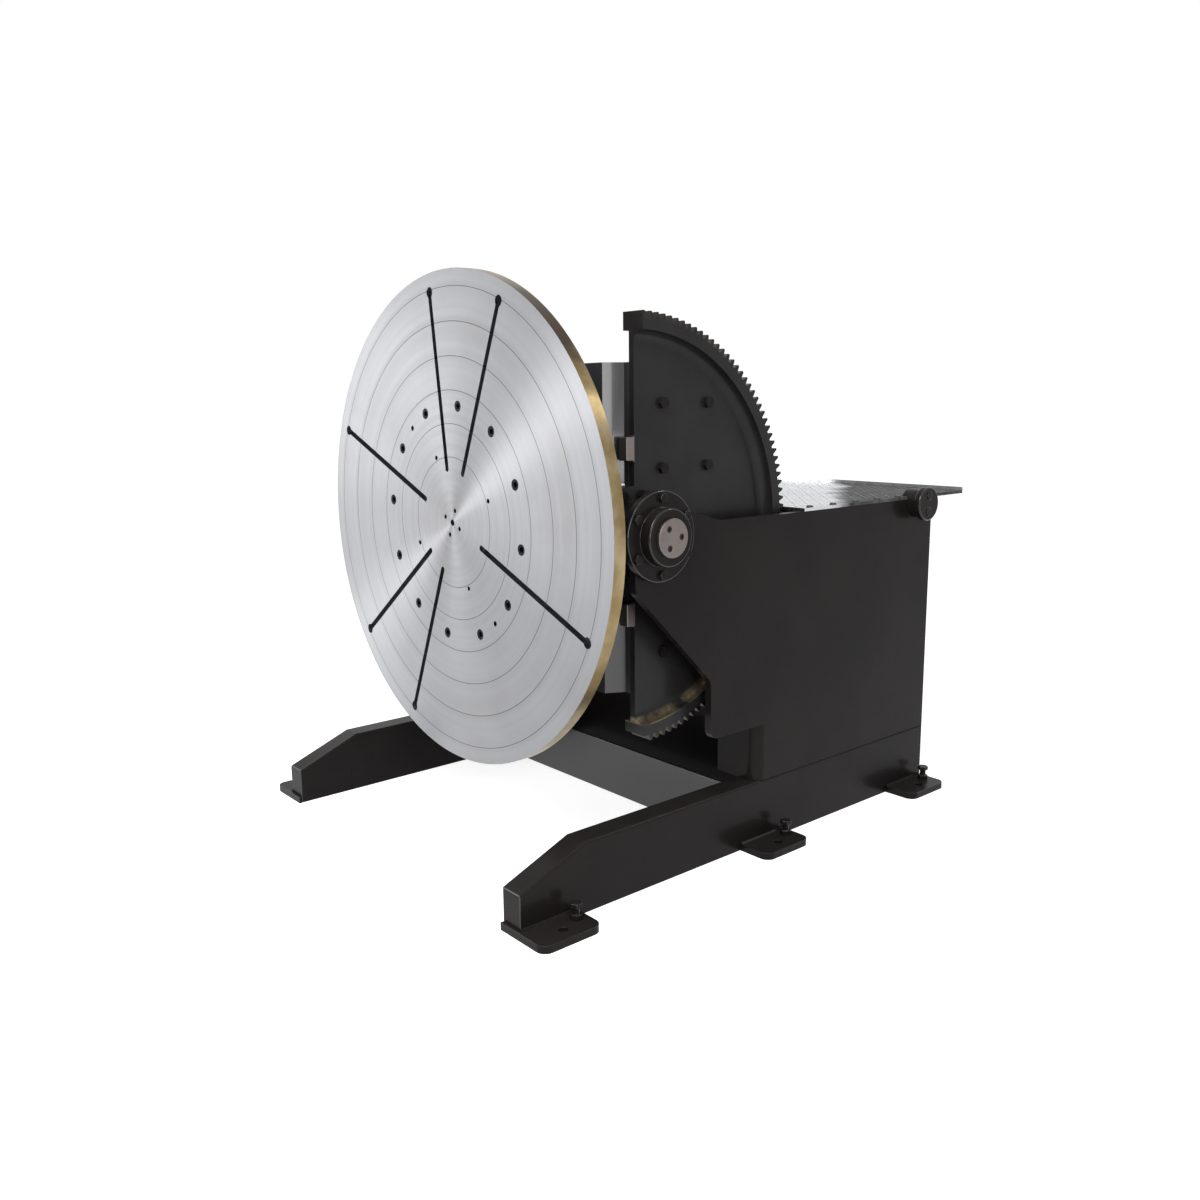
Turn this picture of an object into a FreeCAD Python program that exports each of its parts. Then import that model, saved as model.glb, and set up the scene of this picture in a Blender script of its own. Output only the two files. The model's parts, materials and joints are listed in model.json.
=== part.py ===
"""Welding positioner: a slotted round table that turns on a toothed bearing ring, carried by a cradle that
tilts on two half-circle tooth sectors between the side frames of a floor-standing base.

Frame: +Z up, the table faces -Y when upright, +X is the machine's left. The origin lies on the floor at the
centre of the four corner anchor holes. All sizes are in millimetres.
"""
import FreeCAD, Part
import math
import os

V = FreeCAD.Vector
SIDES = {"left": 1, "right": -1}

# ---------------------------------------------------------------- driving dimensions
# Axes
tilt_axis_y = -410.0             # trunnion axis, measured from the anchor pattern's centre
tilt_axis_z = 1010.0             # trunnion axis above the floor
anchor_spacing_y = 1610.0        # front anchors to rear anchors
anchor_from_leg = 65.0           # anchors beyond the legs' outer faces

# Table
table_diameter = 1500.0
table_thickness = 40.0
table_face_ahead = 214.0         # table face ahead of the trunnion axis
slot_pattern_angle = 23.0        # first slot, clockwise from the top, seen from the front
slot_inner_radius = 165.0
slot_outer_radius = 694.0
slot_width = 18.0
slot_depth = 16.0
tee_width = 30.0
tee_depth = 16.0
tee_entry_radius = 16.0
table_screw_count = 12
table_screw_pcd = 710.0
table_screw_turn = 8.0           # first screw, clockwise from the top
table_screw_sink = 21.0          # counterbore depth
table_screw_sink_radius = 16.5
table_screw_head_radius = 15.0
table_screw_head = 20.0
table_screw_length = 60.0
fixture_hole_pcd = 420.0
fixture_hole_radius = 7.0
fixture_hole_turn = 68.0
pilot_hole_radius = 10.0
pilot_pattern_pcd = 82.0
pilot_pattern_hole_radius = 7.0
jacking_hole_radius = 8.0

# Gearing
gear_module = 8.0
pressure_angle = math.radians(20.0)
tooth_backlash = 0.7             # taken off each tooth's thickness
tip_clearance_factor = 1.25      # dedendum in modules
sector_teeth_full = 148          # teeth that a full circle would have
sector_tooth_count = 73          # teeth that the half circle carries
sector_face_width = 80.0
sector_rim_depth = 32.0          # rim metal under the tooth roots
sector_web_thickness = 20.0
sector_web_set_in = 37.0         # web face below the rim's outer face
sector_rim_fillet = 33.0         # nearly the pocket depth, so the rim runs into the web in one curve
sector_end_ahead = -8.0          # flat end face of the sector, ahead of the axis (negative is behind)
sector_hub_radius = 90.0
sector_lobe_radius = 130.0
tilt_pinion_teeth = 17
tilt_mesh_station = 51.5         # tooth pitches from the top to the pinion
table_gear_teeth = 98
rotation_pinion_teeth = 16
rotation_mesh_angle = 225.0      # direction of the pinion, clockwise from the top
rotation_pinion_width = 73.0

# Slewing ring between cradle and table
slew_outer_height = 85.0
slew_inner_height = 95.0
slew_bore_radius = 255.0
slew_race_radius = 318.0
slew_rib_depth = 14.0
slew_rib_height = 20.0
running_gap = 0.3
slew_bolt_pcd = 574.0
slew_bolt_count = 12
slew_bolt_grip = 50.0            # bolt length in the inner ring
slew_inner_set_back = 5.0        # inner ring behind the table's rear face
seat_ring_width = 12.0           # seat ring beyond the race
seat_ring_bore_step = 5.0

# Cradle
cradle_half_height = 466.0
cradle_plate = 20.0
cradle_front_ahead = 45.0        # front plate ahead of the trunnion axis
cradle_facet_width = 30.0        # sideways reach of the folded facet
cradle_depth = 340.0             # side plates behind the axis
cradle_shelf_depth = 250.0       # top and bottom plates behind the axis
cradle_corner_radius = 540.0     # side plate corners are turned to this radius about the trunnion
cradle_bolt_ys = (115.0, 295.0)  # sector bolts behind the axis
cradle_bolt_zs = (175.0, 355.0)  # sector bolts above and below the axis
key_height = 64.0
key_centre = 232.0               # key blocks above and below the axis
key_depth = 30.0
key_width = 32.0

# Earth brush: carries the welding current from the turning ring to the cradle
brush_angle = 45.0               # direction of the brush, clockwise from the top
brush_radius = 362.0             # from the table's axis
brush_length = 60.0              # along the ring
brush_width = 34.0
brush_plate = 8.0                # holder's base plate
brush_wall = 8.0
brush_tip = 5.0                  # brush beyond its holder

# Side frames and base
frame_width = 1360.0             # over the side plates
side_plate = 25.0
sector_to_plate_gap = 35.0       # sector rim to the inner face of the side plate
arm_ahead = 77.0                 # arm's front edge ahead of the axis
arm_above = 53.0                 # arm's top above the axis
arm_front_drop = 150.0           # straight front edge below the axis
throat_y = -189.0                # rear edge of the throat under the arm
throat_step_z = 385.0            # height where the throat edge steps back to the corner
arm_top_end_behind = 150.0
arm_slope_end_behind = 260.0
frame_top_z = 1030.0
leg_width = 76.0
leg_height = 205.0
leg_wall = 10.0
leg_edge_radius = 8.0
nose_ahead = 90.0                # leg's front end ahead of the front anchors
nose_height = 119.0
nose_slope_run = 219.0           # leg reaches its full height this far behind its front end
base_behind = 106.0              # rear wall's outer face behind the rear anchors
wall_plate = 12.0
corner_y = 12.0                  # front face of the rolled corner
corner_radius = 40.0
corner_return_x = 520.0
cross_plate_y = -22.0
cross_plate_height = 184.0
bulkhead_y = 218.0

# Rear wall
cover_width = 760.0
cover_height = 460.0
cover_z = 620.0
cover_overlap = 30.0
gland_x = 480.0
gland_z = 300.0
gland_radius = 16.0
gland_spacing = 60.0

# Feet
foot_thickness = 22.0
foot_length = 200.0
foot_reach = 110.0               # beyond the leg's outer face
foot_corner_radius = 30.0
foot_mid_y = 48.0
anchor_hole_radius = 13.0
jack_screw_radius = 10.0
jack_screw_x = 42.0              # from the leg's outer face
jack_screw_shift = 62.0          # behind the foot's centre
jack_screw_stand = 35.0          # head above the foot plate
jack_nut_height = 16.0

# Deck
deck_thickness = 10.0
deck_overhang = 194.0            # deck behind the rear wall
deck_lip_height = 12.0           # turned-up rear edge above the tread
deck_lip_thickness = 6.0
deck_bracket_x = 430.0
deck_bracket_drop = 150.0
deck_bracket_thickness = 10.0
deck_bracket_nose = 25.0         # depth of the brackets' free ends
deck_screw_count = 5
deck_screw_end_margin = 40.0
deck_screw_length = 35.0
deck_screw_head = 5.0

# Lifting bollards
bollard_ahead = 99.0             # bollard ahead of the rear wall's outer face
bollard_z = 1015.0
bollard_radius = 57.0
bollard_disc = 24.0
bollard_neck = 30.0
bollard_neck_radius = 48.0
bollard_screw_offset = 28.0
bollard_screw_sink = 8.0         # flat-bottomed seats in the disc
bollard_tab_radius = 48.0        # round tab of the side plate that stands up through the deck behind the neck

# Trunnions
shaft_radius = 50.0
bearing_clearance = 0.05
bushing_wall = 12.0
housing_spigot_radius = 85.0
housing_flange_radius = 125.0
housing_flange = 22.0
housing_boss_radius = 80.0
housing_boss = 36.0
housing_lip = 8.0                # outer end of the boss that closes over the bushing
housing_lip_gap = 1.5            # lip's bore beyond the shaft
housing_screw_pcd = 210.0
housing_screw_count = 6
shaft_flange_radius = 130.0
shaft_flange = 25.0
shaft_bolt_pcd = 220.0
shaft_bolt_count = 8
cap_radius = 54.0
cap_thickness = 10.0
cap_screw_pcd = 60.0
cap_screw_turn = -33.0           # first screw, clockwise from the top
cap_screw_radius = 5.0
cap_screw_length = 24.0
cap_screw_sink = 6.0
thrust_washer_radius = 84.0

# Drives
pinion_shaft_radius = 30.0
bearing_block_size = 120.0
bearing_block_depth = 25.0
gearbox_drum_radius = 85.0
gearbox_half_width = 110.0
worm_drop = 135.0
worm_radius = 62.0
tilt_motor_radius = 72.0
tilt_motor_length = 260.0
gearbox_bolt_x = 70.0            # from the gearbox's centre line
gearbox_bolt_z = 60.0            # above and below the pinion shaft
gearbox_bolt_grip = 40.0
motor_flange = 14.0
motor_flange_reach = 14.0        # flange beyond the motor's body
motor_fan_cover = 55.0
motor_fin_count = 16
rotation_shaft_radius = 28.0
rotation_nose_radius = 75.0
rotation_flange_radius = 112.0
rotation_barrel_length = 95.0
rotation_motor_radius = 68.0
rotation_motor_length = 230.0

# Fasteners: shank radius, hexagon across flats, head height
M12 = (6.0, 18.0, 7.5)
M16 = (8.0, 24.0, 10.0)
M20 = (10.0, 30.0, 12.5)
nut_height = 16.0
bolt_hole_slack = 1.0

# ---------------------------------------------------------------- derived places
frame_half = frame_width / 2
plate_inner = frame_half - side_plate
rim_outer = plate_inner - sector_to_plate_gap
rim_inner = rim_outer - sector_face_width
web_outer = rim_outer - sector_web_set_in
web_inner = web_outer - sector_web_thickness
cradle_side_inner = web_inner - cradle_plate
leg_inner = frame_half - leg_width
sector_end_y = tilt_axis_y - sector_end_ahead
cradle_front_y = tilt_axis_y - cradle_front_ahead
cradle_bore_radius = slew_bore_radius - seat_ring_bore_step
table_face_y = tilt_axis_y - table_face_ahead
table_back_y = table_face_y + table_thickness
table_radius = table_diameter / 2
slew_outer_rear_y = table_back_y + slew_outer_height
slew_inner_front_y = table_back_y + slew_inner_set_back
slew_inner_rear_y = slew_inner_front_y + slew_inner_height
foot_front_y = -anchor_spacing_y / 2
foot_rear_y = anchor_spacing_y / 2
nose_y = foot_front_y - nose_ahead
nose_slope_y = nose_y + nose_slope_run
base_rear_y = foot_rear_y + base_behind
wall_rear_inner = base_rear_y - wall_plate
deck_rear_y = base_rear_y + deck_overhang
bollard_y = base_rear_y - bollard_ahead
anchor_x = frame_half + anchor_from_leg
housing_face_x = frame_half + housing_flange + housing_boss
cap_inner_x = housing_face_x + running_gap
washer_inner_x = plate_inner - running_gap - 6.0


def pitch_radius(teeth):
    return gear_module * teeth / 2


sector_pitch_radius = pitch_radius(sector_teeth_full)
sector_tip_radius = sector_pitch_radius + gear_module
sector_root_radius = sector_pitch_radius - tip_clearance_factor * gear_module
rim_bore_radius = sector_root_radius - sector_rim_depth
tilt_mesh_angle = tilt_mesh_station * 360.0 / sector_teeth_full
tilt_centre_distance = sector_pitch_radius + pitch_radius(tilt_pinion_teeth)
pinion_y = tilt_axis_y + tilt_centre_distance * math.sin(math.radians(tilt_mesh_angle))
pinion_z = tilt_axis_z + tilt_centre_distance * math.cos(math.radians(tilt_mesh_angle))
rotation_centre_distance = pitch_radius(table_gear_teeth + rotation_pinion_teeth)
rotation_x = rotation_centre_distance * math.sin(math.radians(rotation_mesh_angle))
rotation_z = tilt_axis_z + rotation_centre_distance * math.cos(math.radians(rotation_mesh_angle))
worm_z = pinion_z - worm_drop


# ---------------------------------------------------------------- shape helpers
def box(x0, x1, y0, y1, z0, z1):
    return Part.makeBox(x1 - x0, y1 - y0, z1 - z0, V(x0, y0, z0))


def cylinder_x(y, z, radius, x0, x1):
    return Part.makeCylinder(radius, x1 - x0, V(x0, y, z), V(1, 0, 0))


def cylinder_y(x, z, radius, y0, y1):
    return Part.makeCylinder(radius, y1 - y0, V(x, y0, z), V(0, 1, 0))


def cylinder_z(x, y, radius, z0, z1):
    return Part.makeCylinder(radius, z1 - z0, V(x, y, z0), V(0, 0, 1))


def prism_x(points, x0, x1):
    """Prism along X over (y, z) points."""
    loop = [V(x0, y, z) for y, z in points]
    return Part.Face(Part.makePolygon(loop + loop[:1])).extrude(V(x1 - x0, 0, 0))


def prism_y(points, y0, y1):
    """Prism along Y over (x, z) points."""
    loop = [V(x, y0, z) for x, z in points]
    return Part.Face(Part.makePolygon(loop + loop[:1])).extrude(V(0, y1 - y0, 0))


def prism_z(points, z0, z1):
    """Prism along Z over (x, y) points."""
    loop = [V(x, y, z0) for x, y in points]
    return Part.Face(Part.makePolygon(loop + loop[:1])).extrude(V(0, 0, z1 - z0))


def round_edges_x(shape, corners):
    """Round the edges along X that pass through the given (y, z) corners, each with its radius."""
    for y, z, radius in corners:
        edges = [e for e in shape.Edges if len(e.Vertexes) == 2
                 and all(abs(v.Point.y - y) < 1e-3 and abs(v.Point.z - z) < 1e-3 for v in e.Vertexes)]
        shape = shape.makeFillet(radius, edges)
    return shape


def mirrored(shape, side):
    """The shape itself on the left, its mirror image on the right."""
    return shape if side > 0 else shape.mirror(V(0, 0, 0), V(1, 0, 0))


def polar(radius, degrees):
    """Sideways and upward offset of a point, clockwise from the top."""
    angle = math.radians(degrees)
    return radius * math.sin(angle), radius * math.cos(angle)


def circle_pattern(count, pcd, turn=0.0):
    """Offsets of a bolt circle, clockwise from the top."""
    return [polar(pcd / 2, turn + index * 360.0 / count) for index in range(count)]


def hexagon(flats, height, base, axis):
    """Hexagon head on a base point, standing along the axis."""
    radius = flats / math.sqrt(3)
    across = V(0, 0, 1) if abs(axis.z) < 0.5 else V(1, 0, 0)
    other = axis.cross(across)
    corners = []
    for index in range(6):
        angle = math.radians(30 + 60 * index)
        corners.append(base + across * (radius * math.cos(angle)) + other * (radius * math.sin(angle)))
    return Part.Face(Part.makePolygon(corners + corners[:1])).extrude(axis * height)


def hex_bolt(seat, axis, size, length, with_nut=False):
    """Bolt whose head stands on the seat along the axis and whose shank runs the other way."""
    radius, flats, head = size
    bolt = hexagon(flats, head, seat, axis)
    bolt = bolt.fuse(Part.makeCylinder(radius, length, seat, axis * -1))
    if with_nut:
        nut_seat = seat + axis * -(length - nut_height)
        bolt = bolt.fuse(hexagon(flats, nut_height, nut_seat, axis * -1))
    return bolt.removeSplitter()


def socket_screw(seat, axis, radius, head_radius, head, length):
    """Socket-head screw: the head stands on the seat along the axis."""
    screw = Part.makeCylinder(head_radius, head, seat, axis)
    screw = screw.fuse(Part.makeCylinder(radius, length, seat, axis * -1))
    socket = hexagon(head_radius * 1.1, head * 0.6, seat + axis * (head * 0.4), axis)
    return screw.cut(socket)


def drill(shape, tools):
    return shape.cut(Part.makeCompound(tools)) if tools else shape


def save(name, shape):
    shape.exportStep("parts/" + name + ".step")


def save_group(name, shapes):
    save(name, Part.makeCompound(shapes))


# ---------------------------------------------------------------- gear teeth
def involute(angle):
    return math.tan(angle) - angle


def flank_angle(teeth, radius):
    """Angle between a tooth's centre line and its flank at a radius."""
    reference = pitch_radius(teeth)
    thickness = math.pi * gear_module / 2 - tooth_backlash
    half = thickness / (2 * reference)
    base = reference * math.cos(pressure_angle)
    at_radius = math.acos(base / radius) if radius > base else 0.0
    return half + involute(pressure_angle) - involute(at_radius)


def tooth_loop(teeth, centres, flank_points):
    """Outline points (sideways, up) of teeth at the given centre angles in degrees."""
    root = pitch_radius(teeth) - tip_clearance_factor * gear_module
    tip = pitch_radius(teeth) + gear_module
    radii = [root + (tip - root) * index / flank_points for index in range(flank_points + 1)]
    points = []
    for centre in centres:
        middle = math.radians(centre)
        for radius in radii:
            angle = middle - flank_angle(teeth, radius)
            points.append((radius * math.sin(angle), radius * math.cos(angle)))
        for radius in reversed(radii):
            angle = middle + flank_angle(teeth, radius)
            points.append((radius * math.sin(angle), radius * math.cos(angle)))
    return points


def full_gear_loop(teeth, first_centre, flank_points):
    pitch = 360.0 / teeth
    return tooth_loop(teeth, [first_centre + index * pitch for index in range(teeth)], flank_points)


# ---------------------------------------------------------------- table
def make_faceplate():
    plate = cylinder_y(0, tilt_axis_z, table_radius, table_face_y, table_back_y)
    tools = []
    slot_turns = [90.0 * index for index in range(4)] + [210.0, 330.0]
    for turn in slot_turns:
        tools.append(slot_tool(slot_pattern_angle + turn))
    counterbore_y = table_face_y + table_screw_sink
    for x, z in circle_pattern(table_screw_count, table_screw_pcd, table_screw_turn):
        tools.append(cylinder_y(x, tilt_axis_z + z, table_screw_sink_radius, table_face_y, counterbore_y))
        tools.append(cylinder_y(x, tilt_axis_z + z, M20[0] + bolt_hole_slack, table_face_y, table_back_y))
    for x, z in circle_pattern(4, fixture_hole_pcd, fixture_hole_turn):
        tools.append(cylinder_y(x, tilt_axis_z + z, fixture_hole_radius, table_face_y, table_back_y))
    for x, z in circle_pattern(4, pilot_pattern_pcd, slot_pattern_angle):
        tools.append(cylinder_y(x, tilt_axis_z + z, pilot_pattern_hole_radius, table_face_y, table_back_y))
    for x, z in circle_pattern(2, table_screw_pcd, slot_pattern_angle + 120.0):
        tools.append(cylinder_y(x, tilt_axis_z + z, jacking_hole_radius, table_face_y, table_back_y))
    tools.append(cylinder_y(0, tilt_axis_z, pilot_hole_radius, table_face_y, table_back_y))
    save("faceplate", drill(plate, tools))


def slot_tool(turn):
    """Tee slot along a radius, with a round entry hole at its outer end."""
    tee_top = table_face_y + slot_depth
    floor = tee_top + tee_depth
    tool = box(-slot_width / 2, slot_width / 2, table_face_y, tee_top, slot_inner_radius, slot_outer_radius)
    tool = tool.fuse([
        cylinder_y(0, slot_inner_radius, slot_width / 2, table_face_y, tee_top),
        box(-tee_width / 2, tee_width / 2, tee_top, floor, slot_inner_radius, slot_outer_radius),
        cylinder_y(0, slot_outer_radius, tee_entry_radius, table_face_y, floor)])
    tool.translate(V(0, 0, tilt_axis_z))
    tool.rotate(V(0, 0, tilt_axis_z), V(0, 1, 0), turn)
    return tool


def make_table_screws():
    screws = []
    seat_y = table_face_y + table_screw_sink
    for x, z in circle_pattern(table_screw_count, table_screw_pcd, table_screw_turn):
        screws.append(socket_screw(V(x, seat_y, tilt_axis_z + z), V(0, -1, 0), M20[0], table_screw_head_radius,
                                    table_screw_head, table_screw_length))
    save_group("table_screws", screws)


def make_slewing_outer_ring():
    loop = [(x, tilt_axis_z + z) for x, z in full_gear_loop(table_gear_teeth, rotation_mesh_angle, 1)]
    ring = prism_y(loop, table_back_y, slew_outer_rear_y)
    rib_y = table_back_y + slew_outer_height / 2
    tools = [cylinder_y(0, tilt_axis_z, slew_race_radius + running_gap, table_back_y, slew_outer_rear_y),
             cylinder_y(0, tilt_axis_z, slew_race_radius + slew_rib_depth + running_gap,
                        rib_y - slew_rib_height / 2 - running_gap, rib_y + slew_rib_height / 2 + running_gap)]
    screw_reach = table_screw_length - (table_thickness - table_screw_sink)
    for x, z in circle_pattern(table_screw_count, table_screw_pcd, table_screw_turn):
        tools.append(cylinder_y(x, tilt_axis_z + z, M20[0], table_back_y, table_back_y + screw_reach))
    save("slewing_outer_ring", drill(ring, tools))


# ---------------------------------------------------------------- cradle
def make_slewing_inner_ring():
    ring = cylinder_y(0, tilt_axis_z, slew_race_radius, slew_inner_front_y, slew_inner_rear_y)
    rib_y = table_back_y + slew_outer_height / 2
    ring = ring.fuse(cylinder_y(0, tilt_axis_z, slew_race_radius + slew_rib_depth,
                                rib_y - slew_rib_height / 2, rib_y + slew_rib_height / 2))
    tools = [cylinder_y(0, tilt_axis_z, slew_bore_radius, slew_inner_front_y, slew_inner_rear_y)]
    for x, z in circle_pattern(slew_bolt_count, slew_bolt_pcd):
        tools.append(cylinder_y(x, tilt_axis_z + z, M20[0], slew_inner_rear_y - slew_bolt_grip, slew_inner_rear_y))
    save("slewing_inner_ring", drill(ring, tools))


def make_bearing_seat_ring():
    outer = slew_race_radius + seat_ring_width
    ring = cylinder_y(0, tilt_axis_z, outer, slew_inner_rear_y, cradle_front_y)
    tools = [cylinder_y(0, tilt_axis_z, cradle_bore_radius, slew_inner_rear_y, cradle_front_y)]
    for x, z in circle_pattern(slew_bolt_count, slew_bolt_pcd):
        tools.append(cylinder_y(x, tilt_axis_z + z, M20[0] + bolt_hole_slack, slew_inner_rear_y, cradle_front_y))
    save("bearing_seat_ring", drill(ring, tools))


def cradle_front_loop():
    """Plan of the folded front plate: flat face, a facet each side, even thickness."""
    reach = cradle_side_inner
    flat = reach - cradle_facet_width
    facet_end = sector_end_y
    run = facet_end - cradle_front_y
    length = math.hypot(cradle_facet_width, run)
    inner_end = facet_end + cradle_plate * length / cradle_facet_width
    inner_y = cradle_front_y + cradle_plate
    inner_flat = reach - (inner_end - inner_y) * cradle_facet_width / run
    return [(-reach, facet_end), (-flat, cradle_front_y), (flat, cradle_front_y), (reach, facet_end),
            (reach, inner_end), (inner_flat, inner_y), (-inner_flat, inner_y), (-reach, inner_end)]


def make_cradle_front_plate():
    low = tilt_axis_z - cradle_half_height
    high = tilt_axis_z + cradle_half_height
    plate = prism_z(cradle_front_loop(), low, high)
    rear = cradle_front_y + cradle_plate
    tools = [cylinder_y(0, tilt_axis_z, cradle_bore_radius, cradle_front_y, rear),
             cylinder_y(rotation_x, rotation_z, rotation_nose_radius, cradle_front_y, rear)]
    for x, z in circle_pattern(slew_bolt_count, slew_bolt_pcd):
        tools.append(cylinder_y(x, tilt_axis_z + z, M20[0] + bolt_hole_slack, cradle_front_y, rear))
    for x, z in rotation_bolt_places() + brush_screw_places():
        tools.append(cylinder_y(x, z, M12[0], cradle_front_y, rear))
    notch = shaft_flange_radius + 5.0
    notch_inner = cradle_side_inner - shaft_flange - M20[2] - 5.0
    for side in SIDES.values():
        tools.append(mirrored(cylinder_x(tilt_axis_y, tilt_axis_z, notch, notch_inner,
                                         cradle_side_inner + 1.0), side))
    save("cradle_front_plate", drill(plate, tools))


def make_cradle_shelves():
    """Top and bottom plates between the side plates, behind the folded front plate."""
    front = cradle_front_y + cradle_plate
    loop = cradle_front_loop()
    inner = [loop[7], loop[6], loop[5], loop[4]]
    rear = tilt_axis_y + cradle_shelf_depth
    outline = inner + [(cradle_side_inner, rear), (-cradle_side_inner, rear)]
    top = tilt_axis_z + cradle_half_height
    bottom = tilt_axis_z - cradle_half_height
    save("cradle_top_plate", prism_z(outline, top - cradle_plate, top))
    opening = box(-200.0, 200.0, front + 60.0, rear - 60.0, bottom, bottom + cradle_plate)
    save("cradle_bottom_plate", prism_z(outline, bottom, bottom + cradle_plate).cut(opening))


def sector_bolt_places():
    places = []
    for behind in cradle_bolt_ys:
        for up in cradle_bolt_zs:
            places += [(tilt_axis_y + behind, tilt_axis_z + up), (tilt_axis_y + behind, tilt_axis_z - up)]
    return places


def make_cradle_side_plates():
    plate = box(cradle_side_inner, web_inner, sector_end_y, tilt_axis_y + cradle_depth,
                tilt_axis_z - cradle_half_height, tilt_axis_z + cradle_half_height)
    plate = plate.common(cylinder_x(tilt_axis_y, tilt_axis_z, cradle_corner_radius, cradle_side_inner, web_inner))
    plate = plate.fuse(cylinder_x(tilt_axis_y, tilt_axis_z, sector_lobe_radius, cradle_side_inner, web_inner))
    tools = [cylinder_x(tilt_axis_y, tilt_axis_z, shaft_radius, cradle_side_inner, web_inner)]
    for y, z in sector_bolt_places():
        tools.append(cylinder_x(y, z, M20[0] + bolt_hole_slack, cradle_side_inner, web_inner))
    for y, z in circle_pattern(shaft_bolt_count, shaft_bolt_pcd, 22.5):
        tools.append(cylinder_x(tilt_axis_y + y, tilt_axis_z + z, M20[0] + bolt_hole_slack,
                                cradle_side_inner, web_inner))
    plate = drill(plate.removeSplitter(), tools)
    for name, side in SIDES.items():
        save("cradle_side_plate_" + name, mirrored(plate, side))


def make_tilt_sectors():
    pitch = 360.0 / sector_teeth_full
    centres = [(index + 0.5) * pitch for index in range(sector_tooth_count)]
    teeth = [(tilt_axis_y + y, tilt_axis_z + z) for y, z in tooth_loop(sector_teeth_full, centres, 1)]
    teeth = [point for point in teeth if point[0] > sector_end_y + 0.5]
    end_rise = math.sqrt(sector_tip_radius ** 2 - sector_end_ahead ** 2)
    root_fall = math.sqrt(sector_root_radius ** 2 - sector_end_ahead ** 2)
    outline = [(sector_end_y, tilt_axis_z + end_rise)] + teeth + [(sector_end_y, tilt_axis_z - root_fall)]
    sector = prism_x(outline, rim_inner, rim_outer)
    sector = sector.cut(rim_pocket(web_outer, rim_outer)).cut(
        cylinder_x(tilt_axis_y, tilt_axis_z, rim_bore_radius, rim_inner, web_inner))
    sector = sector.fuse([
        cylinder_x(tilt_axis_y, tilt_axis_z, sector_lobe_radius, web_inner, web_outer),
        cylinder_x(tilt_axis_y, tilt_axis_z, sector_hub_radius, web_outer, washer_inner_x)]).removeSplitter()
    tools = [cylinder_x(tilt_axis_y, tilt_axis_z, shaft_radius, web_inner, washer_inner_x)]
    for y, z in sector_bolt_places():
        tools.append(cylinder_x(y, z, M20[0] + bolt_hole_slack, web_inner, web_outer))
    for y, z in circle_pattern(shaft_bolt_count, shaft_bolt_pcd, 22.5):
        tools.append(cylinder_x(tilt_axis_y + y, tilt_axis_z + z, M20[0] + bolt_hole_slack, web_inner, web_outer))
    sector = drill(sector, tools)
    for name, side in SIDES.items():
        save("tilt_sector_" + name, mirrored(sector, side))


def rim_pocket(floor_x, face_x):
    """Tool for the outer pocket: a cylinder with a rounded bottom edge, as the casting has."""
    tool = cylinder_x(tilt_axis_y, tilt_axis_z, rim_bore_radius, floor_x, face_x)
    edges = [e for e in tool.Edges if e.Closed and abs(e.Vertexes[0].Point.x - floor_x) < 1e-3]
    return tool.makeFillet(sector_rim_fillet, edges)


def make_key_blocks():
    """Shear keys across the seam between sector web and cradle side plate."""
    blocks = []
    outer = web_outer + 2.0
    for side in SIDES.values():
        for up in (key_centre, -key_centre):
            block = box(outer - key_width, outer, sector_end_y - key_depth, sector_end_y,
                        tilt_axis_z + up - key_height / 2, tilt_axis_z + up + key_height / 2)
            front = [e for e in block.Edges if all(abs(v.Point.y - (sector_end_y - key_depth)) < 1e-3
                                                   for v in e.Vertexes)]
            blocks.append(mirrored(block.makeChamfer(1.5, front), side))
    save_group("key_blocks", blocks)


def make_sector_bolts():
    bolts = []
    for side in SIDES.values():
        for y, z in sector_bolt_places():
            grip = web_outer - cradle_side_inner
            bolt = hex_bolt(V(web_outer, y, z), V(1, 0, 0), M20, grip + nut_height, True)
            bolts.append(mirrored(bolt, side))
    save_group("sector_bolts", bolts)


def make_trunnion_shafts():
    flange_x = cradle_side_inner - shaft_flange
    shaft = cylinder_x(tilt_axis_y, tilt_axis_z, shaft_flange_radius, flange_x, cradle_side_inner)
    shaft = shaft.fuse(cylinder_x(tilt_axis_y, tilt_axis_z, shaft_radius, cradle_side_inner, cap_inner_x))
    tools = []
    for y, z in circle_pattern(shaft_bolt_count, shaft_bolt_pcd, 22.5):
        tools.append(cylinder_x(tilt_axis_y + y, tilt_axis_z + z, M20[0] + bolt_hole_slack, flange_x,
                                cradle_side_inner))
    for y, z in circle_pattern(3, cap_screw_pcd, cap_screw_turn):
        tools.append(cylinder_x(tilt_axis_y + y, tilt_axis_z + z, cap_screw_radius, cap_inner_x - 25.0, cap_inner_x))
    shaft = drill(shaft.removeSplitter(), tools)
    bolts = []
    for side_name, side in SIDES.items():
        save("trunnion_shaft_" + side_name, mirrored(shaft, side))
        for y, z in circle_pattern(shaft_bolt_count, shaft_bolt_pcd, 22.5):
            bolt = hex_bolt(V(flange_x, tilt_axis_y + y, tilt_axis_z + z), V(-1, 0, 0), M20,
                            web_outer - flange_x + nut_height, True)
            bolts.append(mirrored(bolt, side))
    save_group("shaft_bolts", bolts)


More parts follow.
